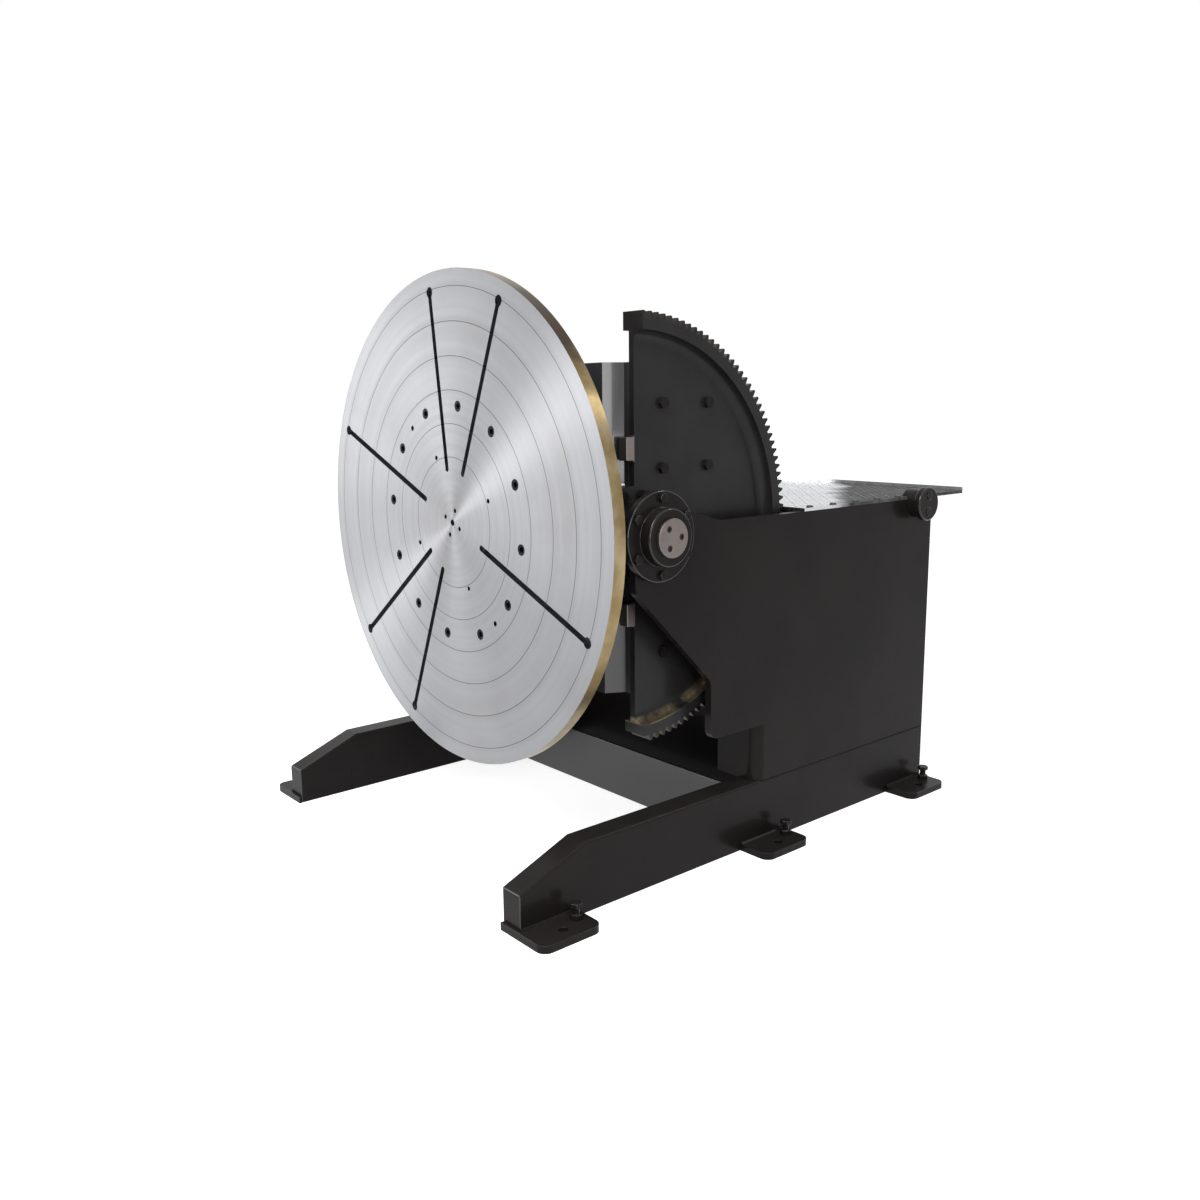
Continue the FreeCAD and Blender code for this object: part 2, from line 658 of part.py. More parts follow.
def make_shaft_caps():
    caps = []
    screws = []
    cap = cylinder_x(tilt_axis_y, tilt_axis_z, cap_radius, cap_inner_x, cap_inner_x + cap_thickness)
    edges = [e for e in cap.Edges if e.Closed and e.Vertexes[0].Point.x > cap_inner_x + 1.0]
    cap = cap.makeChamfer(1.5, edges)
    seat_x = cap_inner_x + cap_thickness - cap_screw_sink
    tools = []
    for y, z in circle_pattern(3, cap_screw_pcd, cap_screw_turn):
        y, z = tilt_axis_y + y, tilt_axis_z + z
        tools += [cylinder_x(y, z, 5.5, cap_inner_x, cap_inner_x + cap_thickness),
                  cylinder_x(y, z, 9.0, seat_x, cap_inner_x + cap_thickness)]
        screw = socket_screw(V(seat_x, y, z), V(1, 0, 0), cap_screw_radius, 8.0, 5.0, cap_screw_length)
        screws += [mirrored(screw, side) for side in SIDES.values()]
    cap = drill(cap, tools)
    for side in SIDES.values():
        caps.append(mirrored(cap, side))
    save_group("shaft_caps", caps)
    save_group("cap_screws", screws)


def make_thrust_washers():
    washer = cylinder_x(tilt_axis_y, tilt_axis_z, thrust_washer_radius, washer_inner_x,
                        plate_inner - running_gap)
    washer = washer.cut(cylinder_x(tilt_axis_y, tilt_axis_z, shaft_radius, washer_inner_x,
                                   plate_inner - running_gap))
    save_group("thrust_washers", [mirrored(washer, side) for side in SIDES.values()])


def make_slewing_bolts():
    seat = cradle_front_y + cradle_plate
    reach = seat - slew_inner_rear_y + slew_bolt_grip
    bolts = [hex_bolt(V(x, seat, tilt_axis_z + z), V(0, 1, 0), M20, reach)
             for x, z in circle_pattern(slew_bolt_count, slew_bolt_pcd)]
    save_group("slewing_bolts", bolts)


def rotation_bolt_places():
    return [(rotation_x + x, rotation_z + z) for x, z in circle_pattern(6, 2 * rotation_flange_radius - 34.0)]


def make_rotation_drive():
    front = cradle_front_y
    seat = front + cradle_plate
    flange_rear = seat + 18.0
    barrel_rear = seat + rotation_barrel_length
    worm_depth = 140.0
    worm_half = 85.0
    unit = cylinder_y(rotation_x, rotation_z, rotation_nose_radius, front, seat)
    unit = unit.fuse([
        cylinder_y(rotation_x, rotation_z, rotation_flange_radius, seat, flange_rear),
        cylinder_y(rotation_x, rotation_z, rotation_flange_radius - 34.0, flange_rear, barrel_rear),
        box(rotation_x - worm_half, rotation_x + worm_half, barrel_rear, barrel_rear + worm_depth,
            rotation_z - worm_half, rotation_z + worm_half)])
    unit = unit.removeSplitter()
    tools = [cylinder_y(rotation_x, rotation_z, rotation_shaft_radius + bearing_clearance, front,
                        barrel_rear - 20.0)]
    for x, z in rotation_bolt_places():
        tools.append(cylinder_y(x, z, M12[0], seat, flange_rear))
    save("rotation_gearbox", drill(unit, tools))
    bolts = [hex_bolt(V(x, flange_rear, z), V(0, 1, 0), M12, flange_rear - front)
             for x, z in rotation_bolt_places()]
    save_group("rotation_gearbox_bolts", bolts)
    motor_y = barrel_rear + worm_depth / 2
    save("rotation_motor", motor_body(V(rotation_x, motor_y, rotation_z + worm_half), V(0, 0, 1),
                                      rotation_motor_radius, rotation_motor_length, V(0, 1, 0)))


def motor_body(base, axis, radius, length, box_side):
    """Flanged motor: mounting flange, finned body, fan cover, terminal box on one side."""
    flange = motor_flange
    cover = motor_fan_cover
    body = Part.makeCylinder(radius + motor_flange_reach, flange, base, axis)
    body = body.fuse(Part.makeCylinder(radius - 6.0, length - cover, base + axis * flange, axis))
    fins = motor_fin_count
    across = axis.cross(box_side)
    fin_length = length - cover - flange - 20.0
    for index in range(fins):
        angle = 2 * math.pi * (index + 0.5) / fins
        out = box_side * math.cos(angle) + across * math.sin(angle)
        along = axis.cross(out)
        foot = base + axis * (flange + 10.0) + along * -2.0 + out * (radius - 9.0)
        loop = [foot, foot + along * 4.0, foot + along * 4.0 + out * 9.0, foot + out * 9.0]
        body = body.fuse(Part.Face(Part.makePolygon(loop + loop[:1])).extrude(axis * fin_length))
    body = body.fuse(Part.makeCylinder(radius, cover, base + axis * (length - cover + flange), axis))
    corner = base + axis * (length * 0.35) + across * -38.0 + box_side * (radius - 12.0)
    loop = [corner, corner + across * 76.0, corner + across * 76.0 + axis * 84.0, corner + axis * 84.0]
    return body.fuse(Part.Face(Part.makePolygon(loop + loop[:1])).extrude(box_side * 50.0)).removeSplitter()


def make_rotation_pinion():
    first = rotation_mesh_angle + 180.0 + 180.0 / rotation_pinion_teeth
    loop = [(rotation_x + x, rotation_z + z) for x, z in full_gear_loop(rotation_pinion_teeth, first, 3)]
    gear_front = table_back_y + 6.0
    gear = prism_y(loop, gear_front, gear_front + rotation_pinion_width)
    shaft_end = cradle_front_y + cradle_plate + rotation_barrel_length - 25.0
    gear = gear.fuse(cylinder_y(rotation_x, rotation_z, rotation_shaft_radius,
                                gear_front + rotation_pinion_width, shaft_end))
    save("rotation_pinion", gear.removeSplitter())


def make_earth_brush():
    """Sliding earth contact on the rear face of the toothed ring, in a box holder on the cradle."""
    face = slew_outer_rear_y + running_gap
    mouth = face + brush_tip
    half_length, half_width = brush_length / 2, brush_width / 2
    holder = box(-half_length - brush_wall, half_length + brush_wall, mouth, cradle_front_y,
                 -half_width - brush_wall, half_width + brush_wall)
    ears = half_length + brush_wall + 28.0
    holder = holder.fuse(box(-ears, ears, cradle_front_y - brush_plate, cradle_front_y, -half_width, half_width))
    holder = holder.cut(box(-half_length, half_length, mouth, cradle_front_y - brush_plate, -half_width, half_width))
    brush = box(-half_length, half_length, face, cradle_front_y - brush_plate, -half_width, half_width)
    screws = []
    for x in (14.0 - ears, ears - 14.0):
        holder = holder.cut(cylinder_y(x, 0, M12[0], cradle_front_y - brush_plate, cradle_front_y))
        screws.append(hex_bolt(V(x, cradle_front_y - brush_plate, 0), V(0, -1, 0), M12, brush_plate + cradle_plate))
    x, z = polar(brush_radius, brush_angle)
    for name, shape in (("earth_brush_holder", holder), ("earth_brush", brush),
                        ("earth_brush_screws", Part.makeCompound(screws))):
        shape = shape.copy()
        shape.rotate(V(0, 0, 0), V(0, 1, 0), brush_angle)
        shape.translate(V(x, 0, tilt_axis_z + z))
        save(name, shape)


def brush_screw_places():
    ear = brush_length / 2 + brush_wall + 14.0
    places = []
    for along in (-ear, ear):
        x, z = polar(brush_radius, brush_angle)
        dx, dz = polar(along, brush_angle + 90.0)
        places.append((x + dx, tilt_axis_z + z + dz))
    return places


# ---------------------------------------------------------------- base
def make_side_frames():
    """Side plate with the trunnion arm ahead of it and the rolled corner below the arm."""
    drop_z = tilt_axis_z - arm_front_drop
    arm_front = tilt_axis_y - arm_ahead
    throat_z = drop_z - (throat_y - arm_front)
    arm_top = tilt_axis_z + arm_above
    outline = [(arm_front, drop_z), (arm_front, arm_top), (tilt_axis_y + arm_top_end_behind, arm_top),
               (tilt_axis_y + arm_slope_end_behind, frame_top_z)]
    outline += [(wall_rear_inner, frame_top_z), (wall_rear_inner, leg_height),
                (corner_y + corner_radius, leg_height), (corner_y + corner_radius, throat_step_z),
                (throat_y, throat_step_z), (throat_y, throat_z)]
    plate = prism_x(outline, plate_inner, frame_half)
    plate = round_edges_x(plate, [(arm_front, arm_top, 25.0), (arm_front, drop_z, 40.0),
                                  (throat_y, throat_z, 40.0), (throat_y, throat_step_z, 30.0)])
    tab = cylinder_x(bollard_y, bollard_z, bollard_tab_radius, plate_inner, frame_half)
    plate = plate.fuse([rolled_corner(), tab]).removeSplitter()
    tools = [cylinder_x(tilt_axis_y, tilt_axis_z, housing_spigot_radius, plate_inner, frame_half)]
    for y, z in circle_pattern(housing_screw_count, housing_screw_pcd):
        tools.append(cylinder_x(tilt_axis_y + y, tilt_axis_z + z, M16[0], plate_inner, frame_half))
    for y, z in bearing_bolt_places():
        tools.append(cylinder_x(y, z, M12[0], plate_inner, frame_half - 5.0))
    for z in bollard_screw_heights():
        tools.append(cylinder_x(bollard_y, z, M16[0], plate_inner, frame_half))
    for y in deck_screw_places():
        tools.append(cylinder_z(plate_inner + side_plate / 2, y, M12[0],
                                frame_top_z + deck_thickness - deck_screw_length, frame_top_z))
    plate = drill(plate, tools)
    for name, side in SIDES.items():
        save("side_frame_" + name, mirrored(plate, side))


def rolled_corner():
    """Quarter bend from the side plate round to the front return."""
    centre_x = frame_half - corner_radius
    centre_y = corner_y + corner_radius
    bend = cylinder_z(centre_x, centre_y, corner_radius, leg_height, throat_step_z)
    bend = bend.cut(cylinder_z(centre_x, centre_y, corner_radius - side_plate, leg_height, throat_step_z))
    bend = bend.common(box(centre_x, frame_half, corner_y, centre_y, leg_height, throat_step_z))
    return_plate = box(corner_return_x, centre_x, corner_y, corner_y + side_plate, leg_height, throat_step_z)
    return bend.fuse(return_plate)


def make_legs():
    outline = [(nose_y, 0), (nose_y, nose_height), (nose_slope_y, leg_height), (wall_rear_inner, leg_height),
               (wall_rear_inner, 0)]
    inner = [(nose_y + leg_wall, leg_wall), (nose_y + leg_wall, nose_height - leg_wall / 2),
             (nose_slope_y + leg_wall / 4, leg_height - leg_wall), (wall_rear_inner, leg_height - leg_wall),
             (wall_rear_inner, leg_wall)]
    leg = prism_x(outline, leg_inner, frame_half)
    long_edges = [e for e in leg.Edges if all(abs(v.Point.x - frame_half) < 1e-3 for v in e.Vertexes)
                  and all(v.Point.z > 1.0 for v in e.Vertexes)
                  and any(v.Point.y < wall_rear_inner - 1.0 for v in e.Vertexes)]
    leg = leg.makeFillet(leg_edge_radius, long_edges)
    leg = leg.cut(prism_x(inner, leg_inner + leg_wall, frame_half - leg_wall))
    for name, side in SIDES.items():
        save("leg_" + name, mirrored(leg, side))


def make_cross_plates():
    save("front_cross_plate", box(-leg_inner, leg_inner, cross_plate_y, cross_plate_y + wall_plate, 0,
                                  cross_plate_height))
    outline = [(-leg_inner, 0), (leg_inner, 0), (leg_inner, leg_height), (plate_inner, leg_height),
               (plate_inner, frame_top_z), (-plate_inner, frame_top_z), (-plate_inner, leg_height),
               (-leg_inner, leg_height)]
    wall = prism_y(outline, bulkhead_y, bulkhead_y + wall_plate)
    tools = [cylinder_y(0, worm_z, worm_radius - 12.0, bulkhead_y, bulkhead_y + wall_plate)]
    for x, z in gearbox_bolt_places():
        tools.append(cylinder_y(x, z, M16[0] + bolt_hole_slack, bulkhead_y, bulkhead_y + wall_plate))
    for x, z in motor_bolt_places():
        tools.append(cylinder_y(x, z, M12[0], bulkhead_y, bulkhead_y + wall_plate))
    save("bulkhead", drill(wall, tools))


def cover_screw_places():
    half_x = cover_width / 2 - cover_overlap / 2
    half_z = cover_height / 2 - cover_overlap / 2
    return [(x, cover_z + z) for x in (-half_x, 0, half_x) for z in (-half_z, half_z)]


def make_rear_wall():
    wall = box(-frame_half, frame_half, wall_rear_inner, base_rear_y, 0, frame_top_z)
    tools = [box(-cover_width / 2 + cover_overlap, cover_width / 2 - cover_overlap, wall_rear_inner, base_rear_y,
                 cover_z - cover_height / 2 + cover_overlap, cover_z + cover_height / 2 - cover_overlap)]
    for x, z in cover_screw_places():
        tools.append(cylinder_y(x, z, 4.0, wall_rear_inner, base_rear_y))
    for offset in (-gland_spacing / 2, gland_spacing / 2):
        tools.append(cylinder_y(gland_x + offset, gland_z, gland_radius, wall_rear_inner, base_rear_y))
    save("rear_wall", drill(wall, tools))
    cover = box(-cover_width / 2, cover_width / 2, base_rear_y, base_rear_y + 4.0,
                cover_z - cover_height / 2, cover_z + cover_height / 2)
    edges = [e for e in cover.Edges if abs(e.Vertexes[0].Point.y - e.Vertexes[1].Point.y) > 1.0]
    cover = cover.makeFillet(15.0, edges)
    holes = [cylinder_y(x, z, 4.0, base_rear_y, base_rear_y + 4.0) for x, z in cover_screw_places()]
    save("access_cover", drill(cover, holes))
    save_group("cover_screws", [hex_bolt(V(x, base_rear_y + 4.0, z), V(0, 1, 0), (4.0, 13.0, 5.5), 14.0)
                                for x, z in cover_screw_places()])
    glands = []
    for offset in (-gland_spacing / 2, gland_spacing / 2):
        x = gland_x + offset
        gland = cylinder_y(x, gland_z, gland_radius, wall_rear_inner, base_rear_y)
        gland = gland.fuse(hexagon(40.0, 12.0, V(x, base_rear_y, gland_z), V(0, 1, 0)))
        gland = gland.fuse(Part.makeCone(17.0, 12.0, 16.0, V(x, base_rear_y + 12.0, gland_z), V(0, 1, 0)))
        glands.append(gland.cut(cylinder_y(x, gland_z, 8.0, wall_rear_inner, base_rear_y + 28.0)))
    save_group("cable_glands", glands)


def foot_places():
    """Centre Y of each foot, front to rear."""
    return (foot_front_y, foot_mid_y, foot_rear_y)


def make_feet():
    plates = []
    screws = []
    outer = frame_half + foot_reach
    for side in SIDES.values():
        for centre in foot_places():
            front = centre - foot_length / 2
            inner = leg_inner if centre == foot_front_y else frame_half
            plate = box(inner, outer, front, front + foot_length, 0, foot_thickness)
            edges = [e for e in plate.Edges if all(v.Point.x > outer - 1.0 for v in e.Vertexes)
                     and abs(e.Vertexes[0].Point.z - e.Vertexes[1].Point.z) > 1.0]
            plate = plate.makeFillet(foot_corner_radius, edges)
            jack = V(frame_half + jack_screw_x, centre + jack_screw_shift, foot_thickness + jack_screw_stand)
            plate = drill(plate, [box(leg_inner, frame_half, nose_y, wall_rear_inner, 0, foot_thickness),
                                  cylinder_z(anchor_x, centre, anchor_hole_radius, 0, foot_thickness),
                                  cylinder_z(jack.x, jack.y, jack_screw_radius, 0, foot_thickness)])
            plates.append(mirrored(plate, side))
            screw = hex_bolt(jack, V(0, 0, 1), (jack_screw_radius, M20[1], M20[2]), jack.z)
            nut = hexagon(M20[1], jack_nut_height, V(jack.x, jack.y, foot_thickness), V(0, 0, 1))
            screws.append(mirrored(screw.fuse(nut).removeSplitter(), side))
    save_group("foot_plates", plates)
    save_group("jack_screws", screws)


def deck_screw_places():
    first = bulkhead_y + deck_screw_end_margin
    last = bollard_y - bollard_tab_radius - deck_screw_end_margin
    return [first + (last - first) * index / (deck_screw_count - 1) for index in range(deck_screw_count)]


def make_deck():
    """Deck with a turned-up rear edge, notched round the tabs of the side plates."""
    top = frame_top_z + deck_thickness
    deck = box(-frame_half, frame_half, bulkhead_y, deck_rear_y, frame_top_z, top)
    deck = deck.fuse(box(-frame_half, frame_half, deck_rear_y - deck_lip_thickness, deck_rear_y, top,
                         top + deck_lip_height)).removeSplitter()
    screw_x = plate_inner + side_plate / 2
    reach = bollard_tab_radius + 1.0
    tab = box(plate_inner - 1.0, frame_half, bollard_y - reach, bollard_y + reach, frame_top_z, top)
    holes = [mirrored(tab, side) for side in SIDES.values()]
    screws = []
    for side in SIDES.values():
        for y in deck_screw_places():
            holes.append(mirrored(cylinder_z(screw_x, y, M12[0], frame_top_z, top), side))
            head = Part.makeCone(12.0, 9.0, deck_screw_head, V(screw_x, y, top), V(0, 0, 1))
            shank = cylinder_z(screw_x, y, M12[0], top - deck_screw_length, top)
            screws.append(mirrored(head.fuse(shank).removeSplitter(), side))
    save("deck_plate", drill(deck, holes))
    save_group("deck_screws", screws)
    half = deck_bracket_thickness / 2
    reach = base_rear_y + deck_overhang * 0.8
    outline = [(base_rear_y, frame_top_z - deck_bracket_drop), (base_rear_y, frame_top_z), (reach, frame_top_z),
               (reach, frame_top_z - deck_bracket_nose)]
    save_group("deck_brackets", [prism_x(outline, x - half, x + half) for x in (-deck_bracket_x, deck_bracket_x)])


def bollard_screw_heights():
    return (bollard_z - bollard_screw_offset, bollard_z + bollard_screw_offset)


def make_bollards():
    """Lifting bollards: a necked disc on each rear top corner, screwed to the side plate and its tab."""
    neck_end = frame_half + bollard_neck
    outer = neck_end + bollard_disc
    bollard = cylinder_x(bollard_y, bollard_z, bollard_neck_radius, frame_half, neck_end)
    disc = cylinder_x(bollard_y, bollard_z, bollard_radius, neck_end, outer)
    disc = disc.makeChamfer(3.0, [e for e in disc.Edges if e.Closed])
    bollard = bollard.fuse(disc).removeSplitter()
    seat = outer - bollard_screw_sink
    holes = []
    for z in bollard_screw_heights():
        holes += [cylinder_x(bollard_y, z, M16[0], frame_half, seat),
                  cylinder_x(bollard_y, z, M16[1] / 2 + 3.0, seat, outer)]
    bollard = drill(bollard, holes)
    screws = []
    for name, side in SIDES.items():
        save("lifting_bollard_" + name, mirrored(bollard, side))
        for z in bollard_screw_heights():
            screw = hex_bolt(V(seat, bollard_y, z), V(1, 0, 0), M16, seat - plate_inner)
            screws.append(mirrored(screw, side))
    save_group("bollard_screws", screws)


def make_trunnion_housings():
    flange_end = frame_half + housing_flange
    bore = shaft_radius + bearing_clearance + bushing_wall
    housing = cylinder_x(tilt_axis_y, tilt_axis_z, housing_spigot_radius, plate_inner, frame_half)
    flange = cylinder_x(tilt_axis_y, tilt_axis_z, housing_flange_radius, frame_half, flange_end)
    flange = flange.makeChamfer(2.0, [e for e in flange.Edges if e.Closed
                                      and e.Vertexes[0].Point.x > flange_end - 1.0])
    boss = cylinder_x(tilt_axis_y, tilt_axis_z, housing_boss_radius, flange_end, housing_face_x)
    boss = boss.makeChamfer(3.0, [e for e in boss.Edges if e.Closed
                                  and e.Vertexes[0].Point.x > housing_face_x - 1.0])
    housing = housing.fuse([flange, boss]).removeSplitter()
    bushing_end = housing_face_x - housing_lip
    tools = [cylinder_x(tilt_axis_y, tilt_axis_z, bore, plate_inner, bushing_end),
             cylinder_x(tilt_axis_y, tilt_axis_z, shaft_radius + housing_lip_gap, bushing_end, housing_face_x)]
    screws = []
    for y, z in circle_pattern(housing_screw_count, housing_screw_pcd):
        y, z = tilt_axis_y + y, tilt_axis_z + z
        tools.append(cylinder_x(y, z, M16[0] + bolt_hole_slack, frame_half, flange_end))
        screw = hex_bolt(V(flange_end, y, z), V(1, 0, 0), M16, housing_flange + side_plate)
        screws += [mirrored(screw, side) for side in SIDES.values()]
    housing = drill(housing, tools)
    bushing = cylinder_x(tilt_axis_y, tilt_axis_z, bore, plate_inner, bushing_end)
    bushing = bushing.cut(cylinder_x(tilt_axis_y, tilt_axis_z, shaft_radius + bearing_clearance, plate_inner,
                                     bushing_end))
    for name, side in SIDES.items():
        save("trunnion_housing_" + name, mirrored(housing, side))
    save_group("housing_screws", screws)
    save_group("trunnion_bushings", [mirrored(bushing, side) for side in SIDES.values()])


# ---------------------------------------------------------------- tilt drive
def bearing_bolt_places():
    reach = bearing_block_size / 2 - 15.0
    return [(pinion_y + y, pinion_z + z) for y in (-reach, reach) for z in (-reach, reach)]


def make_pinion_bearings():
    half = bearing_block_size / 2
    inner = plate_inner - bearing_block_depth
    block = box(inner, plate_inner, pinion_y - half, pinion_y + half, pinion_z - half, pinion_z + half)
    edges = [e for e in block.Edges if abs(e.Vertexes[0].Point.x - e.Vertexes[1].Point.x) > 1.0]
    block = block.makeFillet(12.0, edges)
    tools = [cylinder_x(pinion_y, pinion_z, pinion_shaft_radius + bearing_clearance, inner, plate_inner)]
    tools += [cylinder_x(y, z, M12[0], inner, plate_inner) for y, z in bearing_bolt_places()]
    block = drill(block, tools)
    bolts = []
    for side in SIDES.values():
        for y, z in bearing_bolt_places():
            bolt = hex_bolt(V(inner, y, z), V(-1, 0, 0), M12, bearing_block_depth + side_plate - 5.0)
            bolts.append(mirrored(bolt, side))
    save_group("pinion_bearings", [mirrored(block, side) for side in SIDES.values()])
    save_group("pinion_bearing_bolts", bolts)


def make_tilt_pinions():
    first = tilt_mesh_angle + 180.0 + 180.0 / tilt_pinion_teeth
    loop = [(pinion_y + y, pinion_z + z) for y, z in full_gear_loop(tilt_pinion_teeth, first, 3)]
    pinion = prism_x(loop, rim_inner, rim_outer)
    pinion = pinion.cut(cylinder_x(pinion_y, pinion_z, pinion_shaft_radius, rim_inner, rim_outer))
    for name, side in SIDES.items():
        save("tilt_pinion_" + name, mirrored(pinion, side))
    end = plate_inner - 3.0
    shaft = cylinder_x(pinion_y, pinion_z, pinion_shaft_radius, -end, end)
    collar = cylinder_x(pinion_y, pinion_z, pinion_shaft_radius + 12.0, rim_inner - 20.0, rim_inner)
    shaft = shaft.fuse([mirrored(collar, side) for side in SIDES.values()])
    save("tilt_pinion_shaft", shaft.removeSplitter())


def gearbox_bolt_places():
    return [(x, pinion_z + z) for x in (-gearbox_bolt_x, gearbox_bolt_x) for z in (-gearbox_bolt_z, gearbox_bolt_z)]


def motor_bolt_places():
    reach = tilt_motor_radius + 4.0
    return [(x, worm_z + z) for x, z in circle_pattern(4, 2 * reach, 45.0)]


def make_tilt_gearbox():
    half = gearbox_half_width
    drum = cylinder_x(pinion_y, pinion_z, gearbox_drum_radius, -half, half)
    covers = cylinder_x(pinion_y, pinion_z, gearbox_drum_radius - 22.0, -half - 12.0, half + 12.0)
    foot = box(-half + 15.0, half - 15.0, pinion_y, bulkhead_y, pinion_z - gearbox_drum_radius + 10.0,
               pinion_z + gearbox_drum_radius - 10.0)
    worm = cylinder_y(0, worm_z, worm_radius, pinion_y - 75.0, bulkhead_y)
    neck = box(-55.0, 55.0, pinion_y - 45.0, bulkhead_y, worm_z, pinion_z)
    unit = drum.fuse([covers, foot, worm, neck]).removeSplitter()
    tools = [cylinder_x(pinion_y, pinion_z, pinion_shaft_radius + bearing_clearance, -half - 12.0, half + 12.0)]
    for x, z in gearbox_bolt_places():
        tools.append(cylinder_y(x, z, M16[0], bulkhead_y - gearbox_bolt_grip, bulkhead_y))
    save("tilt_gearbox", drill(unit, tools))
    seat = bulkhead_y + wall_plate
    bolts = [hex_bolt(V(x, seat, z), V(0, 1, 0), M16, wall_plate + gearbox_bolt_grip) for x, z in gearbox_bolt_places()]
    motor = motor_body(V(0, seat, worm_z), V(0, 1, 0), tilt_motor_radius, tilt_motor_length, V(0, 0, 1))
    holes = [cylinder_y(x, z, M12[0], seat, seat + motor_flange) for x, z in motor_bolt_places()]
    save("tilt_motor", drill(motor, holes))
    motor_bolts = [hex_bolt(V(x, seat + motor_flange, z), V(0, 1, 0), (M12[0], 13.0, M12[2]),
                            motor_flange + wall_plate)
                   for x, z in motor_bolt_places()]
    save_group("tilt_drive_bolts", bolts + motor_bolts)


# ---------------------------------------------------------------- build
def main():
    os.makedirs("parts", exist_ok=True)
    make_faceplate()
    make_table_screws()
    make_slewing_outer_ring()
    make_slewing_inner_ring()
    make_bearing_seat_ring()
    make_cradle_front_plate()
    make_cradle_shelves()
    make_cradle_side_plates()
    make_tilt_sectors()
    make_key_blocks()
    make_sector_bolts()
    make_trunnion_shafts()
    make_shaft_caps()
    make_thrust_washers()
    make_slewing_bolts()
    make_rotation_drive()
    make_rotation_pinion()
    make_earth_brush()
    make_side_frames()
    make_legs()
    make_cross_plates()
    make_rear_wall()
    make_feet()
    make_deck()
    make_bollards()
    make_trunnion_housings()
    make_pinion_bearings()
    make_tilt_pinions()
    make_tilt_gearbox()


main()
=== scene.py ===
"""Looks of a gear-tilt welding positioner, dressed over its fixed model.

Every class below is one sub-assembly or one finish. Places and sizes are read from the model's own pieces, in
metres, in the model's frame: +Z up, the upright table faces -Y, +X is the machine's left.
"""
import json
import logging
import math
from dataclasses import dataclass
from enum import Enum

import bmesh
import bpy
from mathutils import Matrix, Vector


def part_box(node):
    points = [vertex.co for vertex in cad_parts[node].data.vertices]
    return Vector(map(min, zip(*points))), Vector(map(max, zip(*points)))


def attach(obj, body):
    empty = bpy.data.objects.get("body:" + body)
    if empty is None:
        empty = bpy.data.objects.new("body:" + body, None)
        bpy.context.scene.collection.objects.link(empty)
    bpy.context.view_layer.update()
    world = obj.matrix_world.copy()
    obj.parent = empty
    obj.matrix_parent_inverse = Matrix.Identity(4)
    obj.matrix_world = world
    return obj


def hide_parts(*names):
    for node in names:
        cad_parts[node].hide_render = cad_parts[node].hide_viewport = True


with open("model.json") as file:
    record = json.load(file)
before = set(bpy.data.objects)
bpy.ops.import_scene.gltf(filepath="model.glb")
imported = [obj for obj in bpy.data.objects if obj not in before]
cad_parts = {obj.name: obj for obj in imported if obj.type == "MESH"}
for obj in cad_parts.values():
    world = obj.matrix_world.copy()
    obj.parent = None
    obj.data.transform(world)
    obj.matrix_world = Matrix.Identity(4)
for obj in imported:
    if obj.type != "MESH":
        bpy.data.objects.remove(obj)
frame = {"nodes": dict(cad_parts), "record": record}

LOG = logging.getLogger("positioner")

Colour = tuple[float, float, float]
Place = tuple[float, float, float]
Material = bpy.types.Material
Socket = bpy.types.NodeSocket

ROUNDED_FROM = math.radians(38.0)
CREASED_FROM = math.radians(50.0)
FLAT_WITHIN = math.radians(0.4)
SAME_PLACE = 0.00002


class Body(Enum):
    """The rigid bodies that pieces ride on."""

    BASE = "base"
    CRADLE = "cradle"
    TABLE = "table"
    TILT_SHAFT = "tilt_drive_shaft"
    TABLE_PINION = "table_drive_pinion"


class Slot(Enum):
    """The material slots that new pieces take their finish from."""

    FRAME = "frame_paint"
    CRADLE = "cradle_paint"
    GEAR = "gear_steel"
    PINION = "pinion_steel"
    TABLE = "table_steel"
    CAP = "cap_steel"
    BRONZE = "bronze"
    FASTENER = "fastener_steel"
    DECK = "deck_aluminium"
    DRIVE = "drive_paint"
    MOTOR = "motor_paint"
    GLAND = "gland_plastic"


SLOT_OF_NODE = {row["node"]: Slot(row["material_slot"]) for row in frame["record"]["subparts"]}
BODY_OF_NODE = {node: Body(body) for body, nodes in frame["record"]["behaviour"]["bodies"].items()
                for node in nodes}


# ---------------------------------------------------------------- shader building


